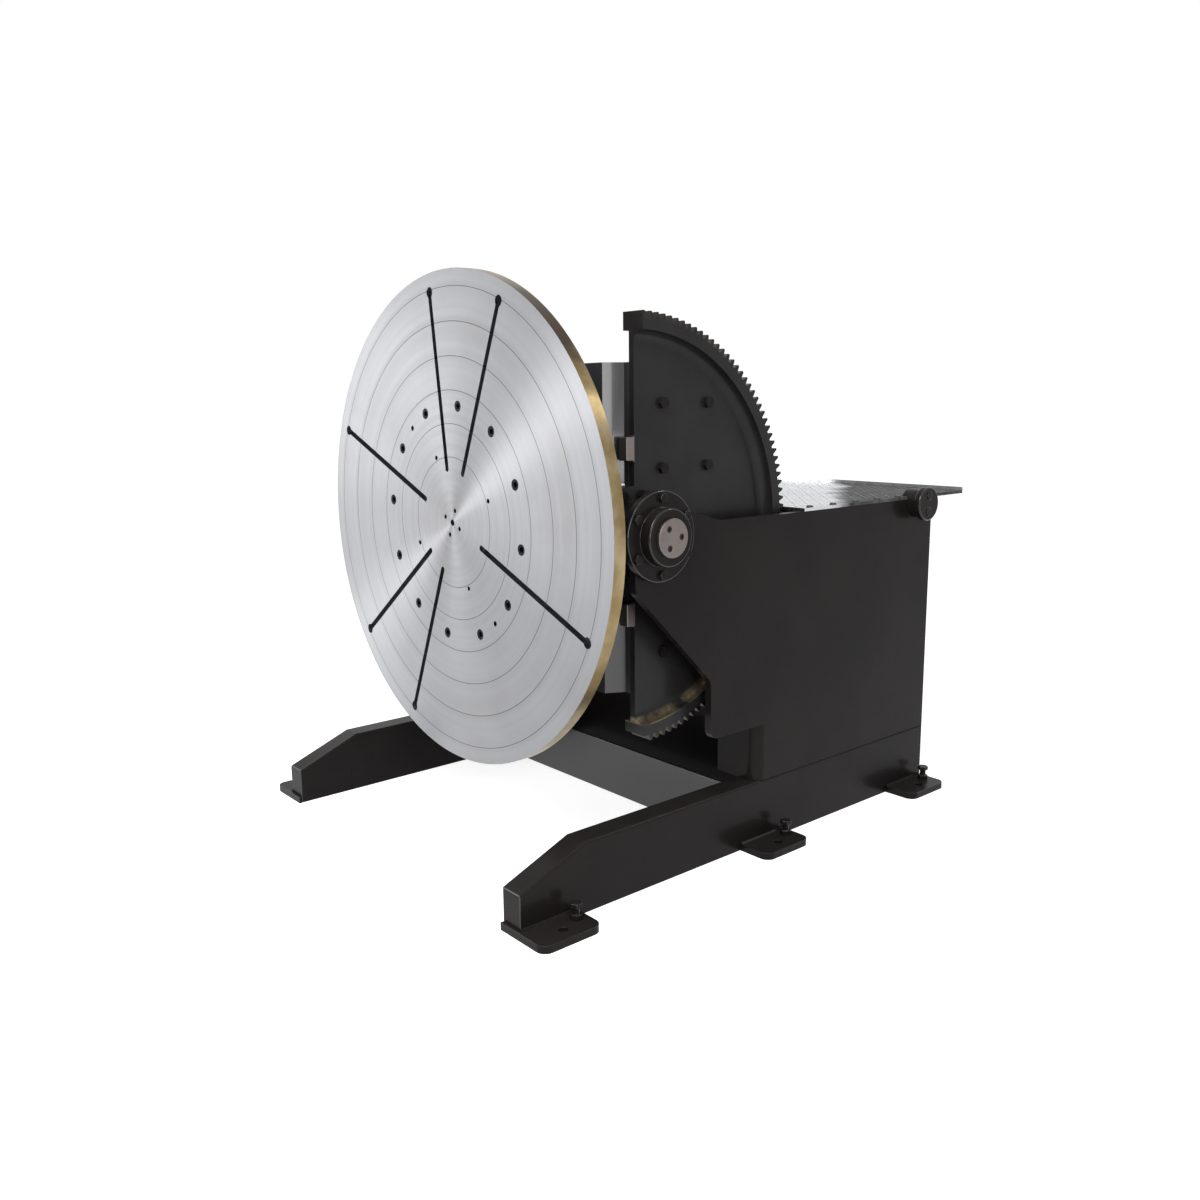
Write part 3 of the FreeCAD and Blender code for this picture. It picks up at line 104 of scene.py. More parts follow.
class Graph:
    """A thin builder over a shader node tree."""

    def __init__(self, tree: bpy.types.NodeTree) -> None:
        """Starts on an existing tree.

        Args:
            tree: the node tree of a material or of a node group.
        """
        self.tree = tree

    def add(self, kind: str, inputs: dict | None = None, **settings: object) -> bpy.types.Node:
        """Adds one node.

        Args:
            kind: the node's type name, without the ShaderNode prefix.
            inputs: socket name or index to a value, or to the output socket that feeds it.
            settings: attributes of the node.

        Returns:
            The new node.
        """
        node = self.tree.nodes.new("ShaderNode" + kind)
        for name, value in settings.items():
            setattr(node, name, value)
        for key, value in (inputs or {}).items():
            self.feed(node.inputs[key], value)
        return node

    def feed(self, socket: Socket, value: object) -> None:
        """Sets a socket's value, or links it to an output socket.

        Args:
            socket: the input socket.
            value: a number, a colour, a vector or an output socket.
        """
        if isinstance(value, Socket):
            self.tree.links.new(value, socket)
        elif isinstance(value, tuple) and len(value) == 3 and socket.type == "RGBA":
            socket.default_value = (*value, 1.0)
        else:
            socket.default_value = value

    def math(self, operation: str, first: object, second: object = 0.0, clamp: bool = False) -> Socket:
        """One Math node's value."""
        node = self.add("Math", {0: first, 1: second}, operation=operation, use_clamp=clamp)
        return node.outputs[0]

    def ramp(self, value: object, low: float, high: float) -> Socket:
        """Maps low..high to 0..1, clamped and smooth at both ends."""
        node = self.add("MapRange", {0: value, 1: low, 2: high}, interpolation_type="SMOOTHSTEP")
        return node.outputs[0]

    def blend(self, share: object, first: object, second: object) -> Socket:
        """Mixes two colours by a share."""
        node = self.add("Mix", {0: share, 6: first, 7: second}, data_type="RGBA")
        return node.outputs[2]

    def mixed(self, share: object, first: object, second: object) -> Socket:
        """Mixes two numbers by a share."""
        node = self.add("Mix", {0: share, 2: first, 3: second}, data_type="FLOAT")
        return node.outputs[0]

    def noise(self, vector: object, scale: float, detail: float = 3.0, roughness: float = 0.55) -> Socket:
        """A noise pattern's value at a vector."""
        inputs = {"Vector": vector, "Scale": scale, "Detail": detail, "Roughness": roughness}
        return self.add("TexNoise", inputs).outputs["Fac"]

    def stretched(self, vector: object, scale: Place) -> Socket:
        """A vector scaled by a Mapping node."""
        return self.add("Mapping", {"Vector": vector, "Scale": scale}).outputs[0]

    def here(self) -> Socket:
        """Object coordinates."""
        return self.add("TexCoord").outputs["Object"]

    def bump(self, height: object, strength: float, distance: float) -> Socket:
        """A Bump node's normal."""
        inputs = {"Height": height, "Strength": strength, "Distance": distance}
        return self.add("Bump", inputs).outputs[0]


class Effects:
    """Shader node groups that several finishes share, each built once."""

    _built: dict[str, bpy.types.NodeTree] = {}

    @classmethod
    def use(cls, graph: Graph, name: str, **inputs: object) -> bpy.types.Node:
        """Places a shared effect in a material.

        Args:
            graph: the material's graph.
            name: the effect's name, one of the make_ methods below.
            inputs: values of the group's named inputs, with underscores for spaces.

        Returns:
            The group node.
        """
        if name not in cls._built:
            cls._built[name] = getattr(cls, "make_" + name)()
        node = graph.add("Group", node_tree=cls._built[name])
        for key, value in inputs.items():
            graph.feed(node.inputs[key.replace("_", " ")], value)
        return node

    @staticmethod
    def _group(name: str, inputs: dict[str, float], *outputs: str) -> tuple[Graph, dict, bpy.types.Node]:
        """Opens a new node group.

        Args:
            name: the group's name.
            inputs: names and defaults of its number inputs.
            outputs: names of its number outputs.

        Returns:
            Its graph, its input sockets by name, and its output node.
        """
        tree = bpy.data.node_groups.new(name, "ShaderNodeTree")
        for label, value in inputs.items():
            socket = tree.interface.new_socket(label, in_out="INPUT", socket_type="NodeSocketFloat")
            socket.default_value = value
        for label in outputs:
            tree.interface.new_socket(label, in_out="OUTPUT", socket_type="NodeSocketFloat")
        source = tree.nodes.new("NodeGroupInput")
        sink = tree.nodes.new("NodeGroupOutput")
        return Graph(tree), {label: source.outputs[label] for label in inputs}, sink

    @classmethod
    def make_edge_wear(cls) -> bpy.types.NodeTree:
        """Paint rubbed off rounded edges: the marked edge strips, broken up by two noises.

        Returns:
            The group\'s node tree.
        """
        graph, given, sink = cls._group("edge_wear", {"Wear": 0.3, "Patch Scale": 30.0}, "Mask")
        edge = graph.add("Attribute", attribute_name="edge").outputs["Fac"]
        here = graph.here()
        patches = graph.add("TexNoise", {"Vector": here, "Scale": given["Patch Scale"], "Detail": 4.0})
        nicks = graph.noise(here, 240.0, 2.0)
        patchy = graph.math("MULTIPLY", patches.outputs["Fac"], 0.7)
        value = graph.math("ADD", patchy, graph.math("MULTIPLY", nicks, 0.3))
        limit = graph.math("SUBTRACT", 0.86, graph.math("MULTIPLY", given["Wear"], 0.5))
        over = graph.ramp(graph.math("SUBTRACT", value, limit), 0.0, 0.04)
        graph.feed(sink.inputs["Mask"], graph.math("MULTIPLY", over, edge, clamp=True))
        return graph.tree

    @classmethod
    def make_dust(cls) -> bpy.types.NodeTree:
        """Settled dust: upward faces, broken up by a soft noise.

        Returns:
            The group\'s node tree.
        """
        graph, given, sink = cls._group("dust", {"Amount": 0.3, "Patch Scale": 5.0}, "Mask")
        coordinates = graph.add("TexCoord")
        up = graph.add("SeparateXYZ", {0: coordinates.outputs["Normal"]}).outputs[2]
        level = graph.ramp(up, 0.2, 0.95)
        cloud = graph.add("TexNoise", {"Vector": coordinates.outputs["Object"], "Scale": given["Patch Scale"],
                                       "Detail": 5.0})
        cover = graph.math("ADD", 0.35, cloud.outputs["Fac"])
        share = graph.math("MULTIPLY", graph.math("MULTIPLY", level, cover), given["Amount"], clamp=True)
        graph.feed(sink.inputs["Mask"], share)
        return graph.tree

    @classmethod
    def make_orange_peel(cls) -> bpy.types.NodeTree:
        """The waviness of thick sprayed enamel, with slow swells under it.

        Returns:
            The group\'s node tree.
        """
        graph, given, sink = cls._group("orange_peel", {"Cell Scale": 260.0, "Swell": 0.5}, "Height")
        here = graph.here()
        cells = graph.add("TexNoise", {"Vector": here, "Scale": given["Cell Scale"], "Detail": 1.0})
        swell = graph.noise(here, 7.0, 2.0)
        height = graph.math("ADD", cells.outputs["Fac"], graph.math("MULTIPLY", swell, given["Swell"]))
        graph.feed(sink.inputs["Height"], height)
        return graph.tree

    @classmethod
    def make_tool_marks(cls) -> bpy.types.NodeTree:
        """Concentric turning marks about an axis along Y at the given height.

        Returns:
            The group\'s node tree.
        """
        graph, given, sink = cls._group("tool_marks", {"Axis Height": 1.0, "Coarse": 90.0, "Fine": 700.0},
                                        "Radius", "Bands", "Marks")
        x, y, z = graph.add("SeparateXYZ", {0: graph.here()}).outputs
        rise = graph.math("SUBTRACT", z, given["Axis Height"])
        squares = graph.math("ADD", graph.math("MULTIPLY", x, x), graph.math("MULTIPLY", rise, rise))
        radius = graph.math("SQRT", squares)
        along = graph.add("CombineXYZ", {0: radius, 1: graph.math("MULTIPLY", y, 0.1)}).outputs[0]
        bands = graph.add("TexNoise", {"Vector": along, "Scale": given["Coarse"], "Detail": 4.0})
        marks = graph.add("TexNoise", {"Vector": along, "Scale": given["Fine"], "Detail": 3.0})
        graph.feed(sink.inputs["Radius"], radius)
        graph.feed(sink.inputs["Bands"], bands.outputs["Fac"])
        graph.feed(sink.inputs["Marks"], marks.outputs["Fac"])
        return graph.tree

    @classmethod
    def make_oil_film(cls) -> bpy.types.NodeTree:
        """Smears and drops of old oil and grease.

        Returns:
            The group\'s node tree.
        """
        graph, given, sink = cls._group("oil_film", {"Amount": 0.5, "Smear Scale": 9.0}, "Mask")
        here = graph.here()
        smears = graph.add("TexNoise", {"Vector": here, "Scale": given["Smear Scale"], "Detail": 5.0,
                                        "Distortion": 0.6})
        cells = graph.add("TexVoronoi", {"Vector": here, "Scale": 85.0}, feature="SMOOTH_F1")
        drops = graph.math("MULTIPLY", cells.outputs["Distance"], 0.25)
        value = graph.math("ADD", smears.outputs["Fac"], drops)
        floor = graph.math("SUBTRACT", 1.0, given["Amount"])
        graph.feed(sink.inputs["Mask"], graph.ramp(graph.math("SUBTRACT", value, floor), -0.12, 0.25))
        return graph.tree

    @classmethod
    def make_brushed_grain(cls) -> bpy.types.NodeTree:
        """Short grinding scratches in two crossing directions.

        Returns:
            The group\'s node tree.
        """
        graph, given, sink = cls._group("brushed_grain", {"Length": 14.0, "Width": 900.0}, "Value")
        here = graph.here()
        length, width = given["Length"], given["Width"]
        scratches = []
        for across, along, turn in ((width, length, (0.2, 0.1, 0.15)), (length, width, (0.1, 0.3, -0.2))):
            scale = graph.add("CombineXYZ", {0: across, 1: along, 2: across}).outputs[0]
            turned = graph.add("Mapping", {"Vector": here, "Scale": scale, "Rotation": turn}).outputs[0]
            scratches.append(graph.noise(turned, 1.0, 2.0))
        value = graph.math("MULTIPLY", *scratches)
        graph.feed(sink.inputs["Value"], graph.ramp(value, 0.1, 0.4))
        return graph.tree


def new_material(name: str) -> tuple[Material, Graph, bpy.types.Node]:
    """Makes an empty node material.

    Args:
        name: the material's name.

    Returns:
        The material, its graph and its Principled BSDF.
    """
    material = bpy.data.materials.new(name)
    material.use_nodes = True
    graph = Graph(material.node_tree)
    return material, graph, material.node_tree.nodes["Principled BSDF"]


# ---------------------------------------------------------------- finishes


@dataclass(frozen=True)
class Enamel:
    """Sprayed machine enamel over steel: gloss, orange peel, edge wear and dust."""

    name: str
    colour: Colour
    second_colour: Colour
    dust_colour: Colour = (0.20, 0.19, 0.18)
    primer_colour: Colour = (0.26, 0.25, 0.25)
    roughness: float = 0.30
    smear_spread: float = 0.16
    specular: float = 0.06
    coat: float = 0.05
    edge_coat: float = 1.0
    coat_roughness: float = 0.08
    wear: float = 0.12
    dust: float = 0.05
    peel: float = 0.05

    def build(self) -> Material:
        """Makes the material.

        Returns:
            The material.
        """
        material, graph, shader = new_material(self.name)
        here = graph.here()
        cloud = graph.noise(here, 3.1, 5.0)
        worn = Effects.use(graph, "edge_wear", Wear=self.wear, Patch_Scale=26.0).outputs["Mask"]
        dusty = Effects.use(graph, "dust", Amount=self.dust, Patch_Scale=6.0).outputs["Mask"]
        paint = graph.blend(graph.ramp(cloud, 0.35, 0.65), self.colour, self.second_colour)
        powder = graph.blend(dusty, paint, self.dust_colour)
        primer = graph.ramp(worn, 0.05, 0.6)
        graph.feed(shader.inputs["Base Color"], graph.blend(primer, powder, self.primer_colour))
        graph.feed(shader.inputs["Metallic"], graph.math("MULTIPLY", graph.ramp(worn, 0.5, 0.9), 0.9))
        smears = graph.noise(graph.stretched(here, (1.0, 1.0, 0.45)), 8.0, 2.0)
        gloss = graph.math("ADD", self.roughness - self.smear_spread / 2,
                           graph.math("MULTIPLY", smears, self.smear_spread))
        rough = graph.math("ADD", gloss, graph.math("MULTIPLY", dusty, 0.5), clamp=True)
        graph.feed(shader.inputs["Roughness"], rough)
        edge = graph.add("Attribute", attribute_name="edge").outputs["Fac"]
        thick = graph.mixed(edge, self.coat, self.edge_coat)
        covered = graph.math("SUBTRACT", 1.0, primer)
        graph.feed(shader.inputs["Coat Weight"], graph.math("MULTIPLY", covered, thick))
        shader.inputs["Coat Roughness"].default_value = self.coat_roughness
        shader.inputs["Specular IOR Level"].default_value = self.specular
        peel = Effects.use(graph, "orange_peel", Cell_Scale=240.0, Swell=1.6).outputs["Height"]
        graph.feed(shader.inputs["Normal"], graph.bump(peel, self.peel, 0.002))
        return material


@dataclass(frozen=True)
class TurnedSteel:
    """Face-turned steel of the round table, with scribed rings and an oiled rim."""

    name: str
    axis_height: float
    face_y: float
    rim_radius: float
    ring_spacing: float = 0.1
    ring_count: int = 6
    ring_half_width: float = 0.0014
    ring_colour: Colour = (0.06, 0.055, 0.055)
    colour: Colour = (0.305, 0.310, 0.325)
    stain: Colour = (0.25, 0.243, 0.243)
    oil: Colour = (0.20, 0.145, 0.065)
    pale_oil: Colour = (0.34, 0.27, 0.16)
    rim_dark_reflection: Colour = (0.062, 0.040, 0.024)
    rim_dark_reflection_angle: float = 37.0
    rim_dark_reflection_reach: float = 0.20
    rim_dark_reflection_fade: float = 0.16
    roughness: float = 0.48
    band_spread: float = 0.14
    rim_gloss: float = 0.20
    grooving: float = 0.89
    rim_lean: float = 40.0

    def build(self) -> Material:
        """Makes the material.

        Returns:
            The material.
        """
        material, graph, shader = new_material(self.name)
        turned = Effects.use(graph, "tool_marks", Axis_Height=self.axis_height, Coarse=60.0, Fine=520.0)
        radius = turned.outputs["Radius"]
        here = graph.here()
        ring = self._rings(graph, radius)
        x, y, z = graph.add("SeparateXYZ", {0: here}).outputs
        rise = graph.math("SUBTRACT", z, self.axis_height)
        behind = graph.ramp(y, self.face_y + 0.0006, self.face_y + 0.002)
        oiled = graph.math("MULTIPLY", self._on_rim(graph, radius), behind)
        cloud = graph.noise(here, 4.0, 6.0, 0.6)
        bands = graph.ramp(turned.outputs["Bands"], 0.3, 0.7)
        stained = graph.math("MULTIPLY", graph.ramp(cloud, 0.42, 0.72), 0.35)
        steel = graph.blend(stained, self.colour, self.stain)
        banded = graph.blend(graph.math("MULTIPLY", bands, 0.16), steel, self.stain)
        ringed = graph.blend(graph.math("MULTIPLY", ring, 0.9), banded, self.ring_colour)
        graph.feed(shader.inputs["Base Color"], graph.blend(oiled, ringed, self._rim_oil_and_dark_reflection(graph, here)))
        shader.inputs["Metallic"].default_value = 1.0
        uneven = graph.math("MULTIPLY", turned.outputs["Bands"], self.band_spread)
        rough = graph.math("ADD", self.roughness - 0.06, uneven)
        smoothed = graph.math("MULTIPLY", oiled, self.rim_gloss)
        graph.feed(shader.inputs["Roughness"], graph.math("SUBTRACT", rough, smoothed))
        shader.inputs["Anisotropic"].default_value = self.grooving
        graph.feed(shader.inputs["Tangent"], self._outward(graph, x, rise, behind))
        height = graph.math("SUBTRACT", graph.math("MULTIPLY", turned.outputs["Marks"], 0.06), ring)
        graph.feed(shader.inputs["Normal"], graph.bump(height, 0.35, 0.0006))
        return material

    def _on_rim(self, graph: Graph, radius: Socket) -> Socket:
        """Mask of the rim's cylinder."""
        return graph.ramp(radius, self.rim_radius - 0.0012, self.rim_radius - 0.0004)

    def _rim_oil_and_dark_reflection(self, graph: Graph, here: Socket) -> Socket:
        """Colour of the old oil on the rim, with a painted dark reflection, dark brown, around one place.

        Args:
            graph: the material's graph.
            here: object coordinates.

        Returns:
            The colour.
        """
        amber = graph.blend(graph.ramp(graph.noise(here, 9.0, 4.0), 0.40, 0.75), self.oil, self.pale_oil)
        # painted dark reflection: the rim turns dark brown within a ragged reach of one spot at a set angle
        # from the top
        turn = math.radians(self.rim_dark_reflection_angle)
        height = self.axis_height + self.rim_radius * math.cos(turn)
        spot = (self.rim_radius * math.sin(turn), self.face_y, height)
        away = graph.add("VectorMath", {0: here, 1: spot}, operation="DISTANCE").outputs["Value"]
        ragged = graph.math("ADD", away, graph.math("MULTIPLY", graph.noise(here, 7.0, 4.0), 0.2))
        dark_reflection_share = graph.ramp(ragged, self.rim_dark_reflection_reach + self.rim_dark_reflection_fade, self.rim_dark_reflection_reach)
        return graph.blend(dark_reflection_share, amber, self.rim_dark_reflection)

    def _outward(self, graph: Graph, x: Socket, rise: Socket, behind: Socket) -> Socket:
        """Direction across the turning grooves: away from the axis on the face, along it on the rim.

        Args:
            graph: the material's graph.
            x: the place along X.
            rise: the height over the axis.
            behind: mask of what lies behind the face.

        Returns:
            The unit vector in world space.
        """
        flat = graph.add("CombineXYZ", {0: x, 2: rise}).outputs[0]
        radius = graph.add("VectorMath", {0: flat}, operation="LENGTH").outputs["Value"]
        rim = graph.math("MULTIPLY", self._on_rim(graph, radius), behind)
        along = graph.math("MULTIPLY", rim, self.rim_lean)
        outward = graph.add("CombineXYZ", {0: x, 1: along, 2: rise}).outputs[0]
        world = graph.add("VectorTransform", {0: outward}, vector_type="VECTOR", convert_from="OBJECT",
                          convert_to="WORLD").outputs[0]
        return graph.add("VectorMath", {0: world}, operation="NORMALIZE").outputs[0]

    def _rings(self, graph: Graph, radius: Socket) -> Socket:
        """Mask of the scribed centring rings.

        Args:
            graph: the material's graph.
            radius: the distance from the table's axis.

        Returns:
            The mask, 1 on a ring.
        """
        turns = graph.math("DIVIDE", radius, self.ring_spacing)
        nearest = graph.math("ROUND", turns)
        beside = graph.math("ABSOLUTE", graph.math("SUBTRACT", turns, nearest))
        off = graph.math("MULTIPLY", beside, self.ring_spacing)
        line = graph.ramp(off, self.ring_half_width, self.ring_half_width * 0.4)
        first = graph.math("GREATER_THAN", nearest, 1.5)
        last = graph.math("LESS_THAN", nearest, self.ring_count + 1.5)
        return graph.math("MULTIPLY", graph.math("MULTIPLY", line, first), last)


@dataclass(frozen=True)
class GearCasting:
    """Dark painted gear disc whose teeth are cut metal under oil, greasier towards the lower end."""

    name: str
    axis: Place
    root_radius: float
    bore_radius: float
    paint: Colour = (0.0125, 0.0112, 0.0116)
    second_paint: Colour = (0.0175, 0.0160, 0.0162)
    metal: Colour = (0.035, 0.031, 0.028)
    oiled_metal: Colour = (0.018, 0.016, 0.015)
    grease: Colour = (0.24, 0.195, 0.115)
    grease_from: float = -0.30
    grease_full: float = -0.52

    def build(self) -> Material:
        """Makes the material.

        Returns:
            The material.
        """
        material, graph, shader = new_material(self.name)
        here = graph.here()
        _, y, z = graph.add("SeparateXYZ", {0: here}).outputs
        run = graph.math("SUBTRACT", y, self.axis[1])
        rise = graph.math("SUBTRACT", z, self.axis[2])
        squares = graph.math("ADD", graph.math("MULTIPLY", run, run), graph.math("MULTIPLY", rise, rise))
        radius = graph.math("SQRT", squares)
        teeth = graph.ramp(radius, self.root_radius - 0.003, self.root_radius + 0.001)
        low = graph.ramp(rise, self.grease_from, self.grease_full)
        film = Effects.use(graph, "oil_film", Amount=0.55, Smear_Scale=14.0).outputs["Mask"]
        inner = graph.ramp(radius, self.bore_radius - 0.020, self.bore_radius - 0.006)
        outer = graph.ramp(radius, self.bore_radius + 0.004, self.bore_radius + 0.0005)
        fillet = graph.math("MULTIPLY", graph.math("MULTIPLY", inner, outer), low)
        lumps = graph.ramp(graph.noise(here, 7.0, 4.0), 0.38, 0.60)
        thick = graph.math("ADD", 0.45, film)
        greased = graph.math("MULTIPLY", graph.math("MULTIPLY", fillet, lumps), thick, clamp=True)
        worn = Effects.use(graph, "edge_wear", Wear=0.35, Patch_Scale=40.0).outputs["Mask"]
        cloud = graph.noise(here, 6.0, 5.0)
        paint = graph.blend(graph.ramp(cloud, 0.3, 0.7), self.paint, self.second_paint)
        cut = graph.blend(graph.math("MULTIPLY", film, 0.7), self.metal, self.oiled_metal)
        bare = graph.math("MAXIMUM", teeth, graph.ramp(worn, 0.2, 0.8))
        metal = graph.blend(bare, paint, cut)
        graph.feed(shader.inputs["Base Color"], graph.blend(greased, metal, self.grease))
        graph.feed(shader.inputs["Metallic"], graph.math("MULTIPLY", graph.math("MAXIMUM", bare, greased), 0.8))
        graph.feed(shader.inputs["Roughness"], graph.mixed(film, 0.42, 0.34))
        shader.inputs["Specular IOR Level"].default_value = 0.12
        shader.inputs["Coat Weight"].default_value = 0.08
        shader.inputs["Coat Roughness"].default_value = 0.15
        peel = Effects.use(graph, "orange_peel", Cell_Scale=180.0, Swell=1.2).outputs["Height"]
        graph.feed(shader.inputs["Normal"], graph.bump(peel, 0.07, 0.002))
        return material


@dataclass(frozen=True)
class BareMetal:
    """Ground or machined metal with fine scratches and thin oil stains."""

    name: str
    colour: Colour
    stain: Colour
    roughness: float = 0.3
    oil: float = 0.3
    scratch: float = 0.15

    def build(self) -> Material:
        """Makes the material.

        Returns:
            The material.
        """
        material, graph, shader = new_material(self.name)
        grain = Effects.use(graph, "brushed_grain", Length=25.0, Width=700.0).outputs["Value"]
        film = Effects.use(graph, "oil_film", Amount=self.oil, Smear_Scale=18.0).outputs["Mask"]
        tone = graph.blend(graph.math("MULTIPLY", grain, 0.3), self.colour, self.stain)
        stained = graph.math("MULTIPLY", film, 0.6)
        graph.feed(shader.inputs["Base Color"], graph.blend(stained, tone, self.stain))
        shader.inputs["Metallic"].default_value = 1.0
        rough = graph.math("ADD", self.roughness, graph.math("MULTIPLY", grain, 0.14))
        wet = graph.math("MULTIPLY", film, 0.08)
        graph.feed(shader.inputs["Roughness"], graph.math("SUBTRACT", rough, wet))
        graph.feed(shader.inputs["Normal"], graph.bump(grain, self.scratch, 0.0004))
        return material


@dataclass(frozen=True)
class TreadAluminium:
    """Rolled tread plate with real dirt specks, bright at its front, with a painted dark reflection, dark and
    dull, towards its rear.
    """

    name: str
    top_height: float
    dark_reflection_from: float = 0.85
    dark_reflection_fade: float = 0.07
    across: Place = (0.8, 0.6, 0.0)
    colour: Colour = (0.80, 0.82, 0.85)
    valley: Colour = (0.50, 0.51, 0.53)
    grime_and_dark_reflection: Colour = (0.036, 0.034, 0.034)
    roughness: float = 0.24
    specular: float = 0.15

    def build(self) -> Material:
        """Makes the material.

        Returns:
            The material.
        """
        material, graph, shader = new_material(self.name)
        here = graph.here()
        rolled = graph.noise(graph.stretched(here, (3.0, 260.0, 260.0)), 1.0, 3.0)
        # painted dark reflection: beyond a ragged line across the plate, its rear turns near black and dull,
        # broken up by patches
        over = graph.add("VectorMath", {0: here, 1: self.across}, operation="DOT_PRODUCT").outputs["Value"]
        ragged = graph.math("ADD", over, graph.math("MULTIPLY", graph.noise(here, 6.0, 6.0), 0.22))
        dark_reflection_zone = graph.ramp(ragged, self.dark_reflection_from, self.dark_reflection_from + self.dark_reflection_fade)
        broken_up = graph.mixed(graph.ramp(graph.noise(here, 24.0, 5.0), 0.42, 0.66), 1.0, 0.9)
        painted_reflection = graph.math("MULTIPLY", graph.math("MULTIPLY", dark_reflection_zone, broken_up), 0.95)
        specks = graph.ramp(graph.noise(here, 38.0, 4.0), 0.52, 0.8)
        scuffs = graph.ramp(graph.noise(graph.stretched(here, (60.0, 9.0, 60.0)), 1.0, 4.0), 0.5, 0.8)
        specks_and_dark_reflection = graph.math("ADD", painted_reflection, graph.math("MULTIPLY", specks, 0.12), clamp=True)
        height = graph.add("SeparateXYZ", {0: here}).outputs[2]
        raised = graph.ramp(height, self.top_height + 0.0002, self.top_height + 0.0010)
        dirt_and_dark_reflection = graph.math("MULTIPLY", specks_and_dark_reflection, graph.mixed(raised, 1.0, 0.78))
        pressed = graph.math("MULTIPLY", graph.mixed(raised, 1.0, 0.0), graph.ramp(rolled, 0.2, 0.6))
        tone = graph.blend(pressed, self.colour, self.valley)
        graph.feed(shader.inputs["Base Color"], graph.blend(dirt_and_dark_reflection, tone, self.grime_and_dark_reflection))
        dull = graph.math("MULTIPLY", dirt_and_dark_reflection, 0.85)
        graph.feed(shader.inputs["Metallic"], graph.math("SUBTRACT", 1.0, dull, clamp=True))
        rough = graph.math("ADD", self.roughness, graph.math("MULTIPLY", scuffs, 0.2))
        graph.feed(shader.inputs["Roughness"], graph.math("ADD", rough, graph.math("MULTIPLY", dirt_and_dark_reflection, 0.45)))
        shader.inputs["Specular IOR Level"].default_value = self.specular
        graph.feed(shader.inputs["Normal"], graph.bump(rolled, 0.12, 0.0005))
        return material


@dataclass(frozen=True)
class MouldedPlastic:
    """Fine-grained moulded nylon."""

    name: str
    colour: Colour = (0.018, 0.018, 0.019)
    second_colour: Colour = (0.03, 0.03, 0.031)

    def build(self) -> Material:
        """Makes the material.

        Returns:
            The material.
        """
        material, graph, shader = new_material(self.name)
        here = graph.here()
        cloud = graph.noise(here, 30.0)
        graph.feed(shader.inputs["Base Color"], graph.blend(cloud, self.colour, self.second_colour))
        graph.feed(shader.inputs["Roughness"], graph.mixed(graph.noise(here, 900.0, 1.0), 0.4, 0.6))
        graph.feed(shader.inputs["Normal"], graph.bump(graph.noise(here, 1400.0, 1.0), 0.1, 0.0003))
        return material


def tread_top() -> float:
    """Height of the deck's tread, on which the screw heads stand 5 mm high."""
    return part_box("deck_screws")[1].z - 0.005


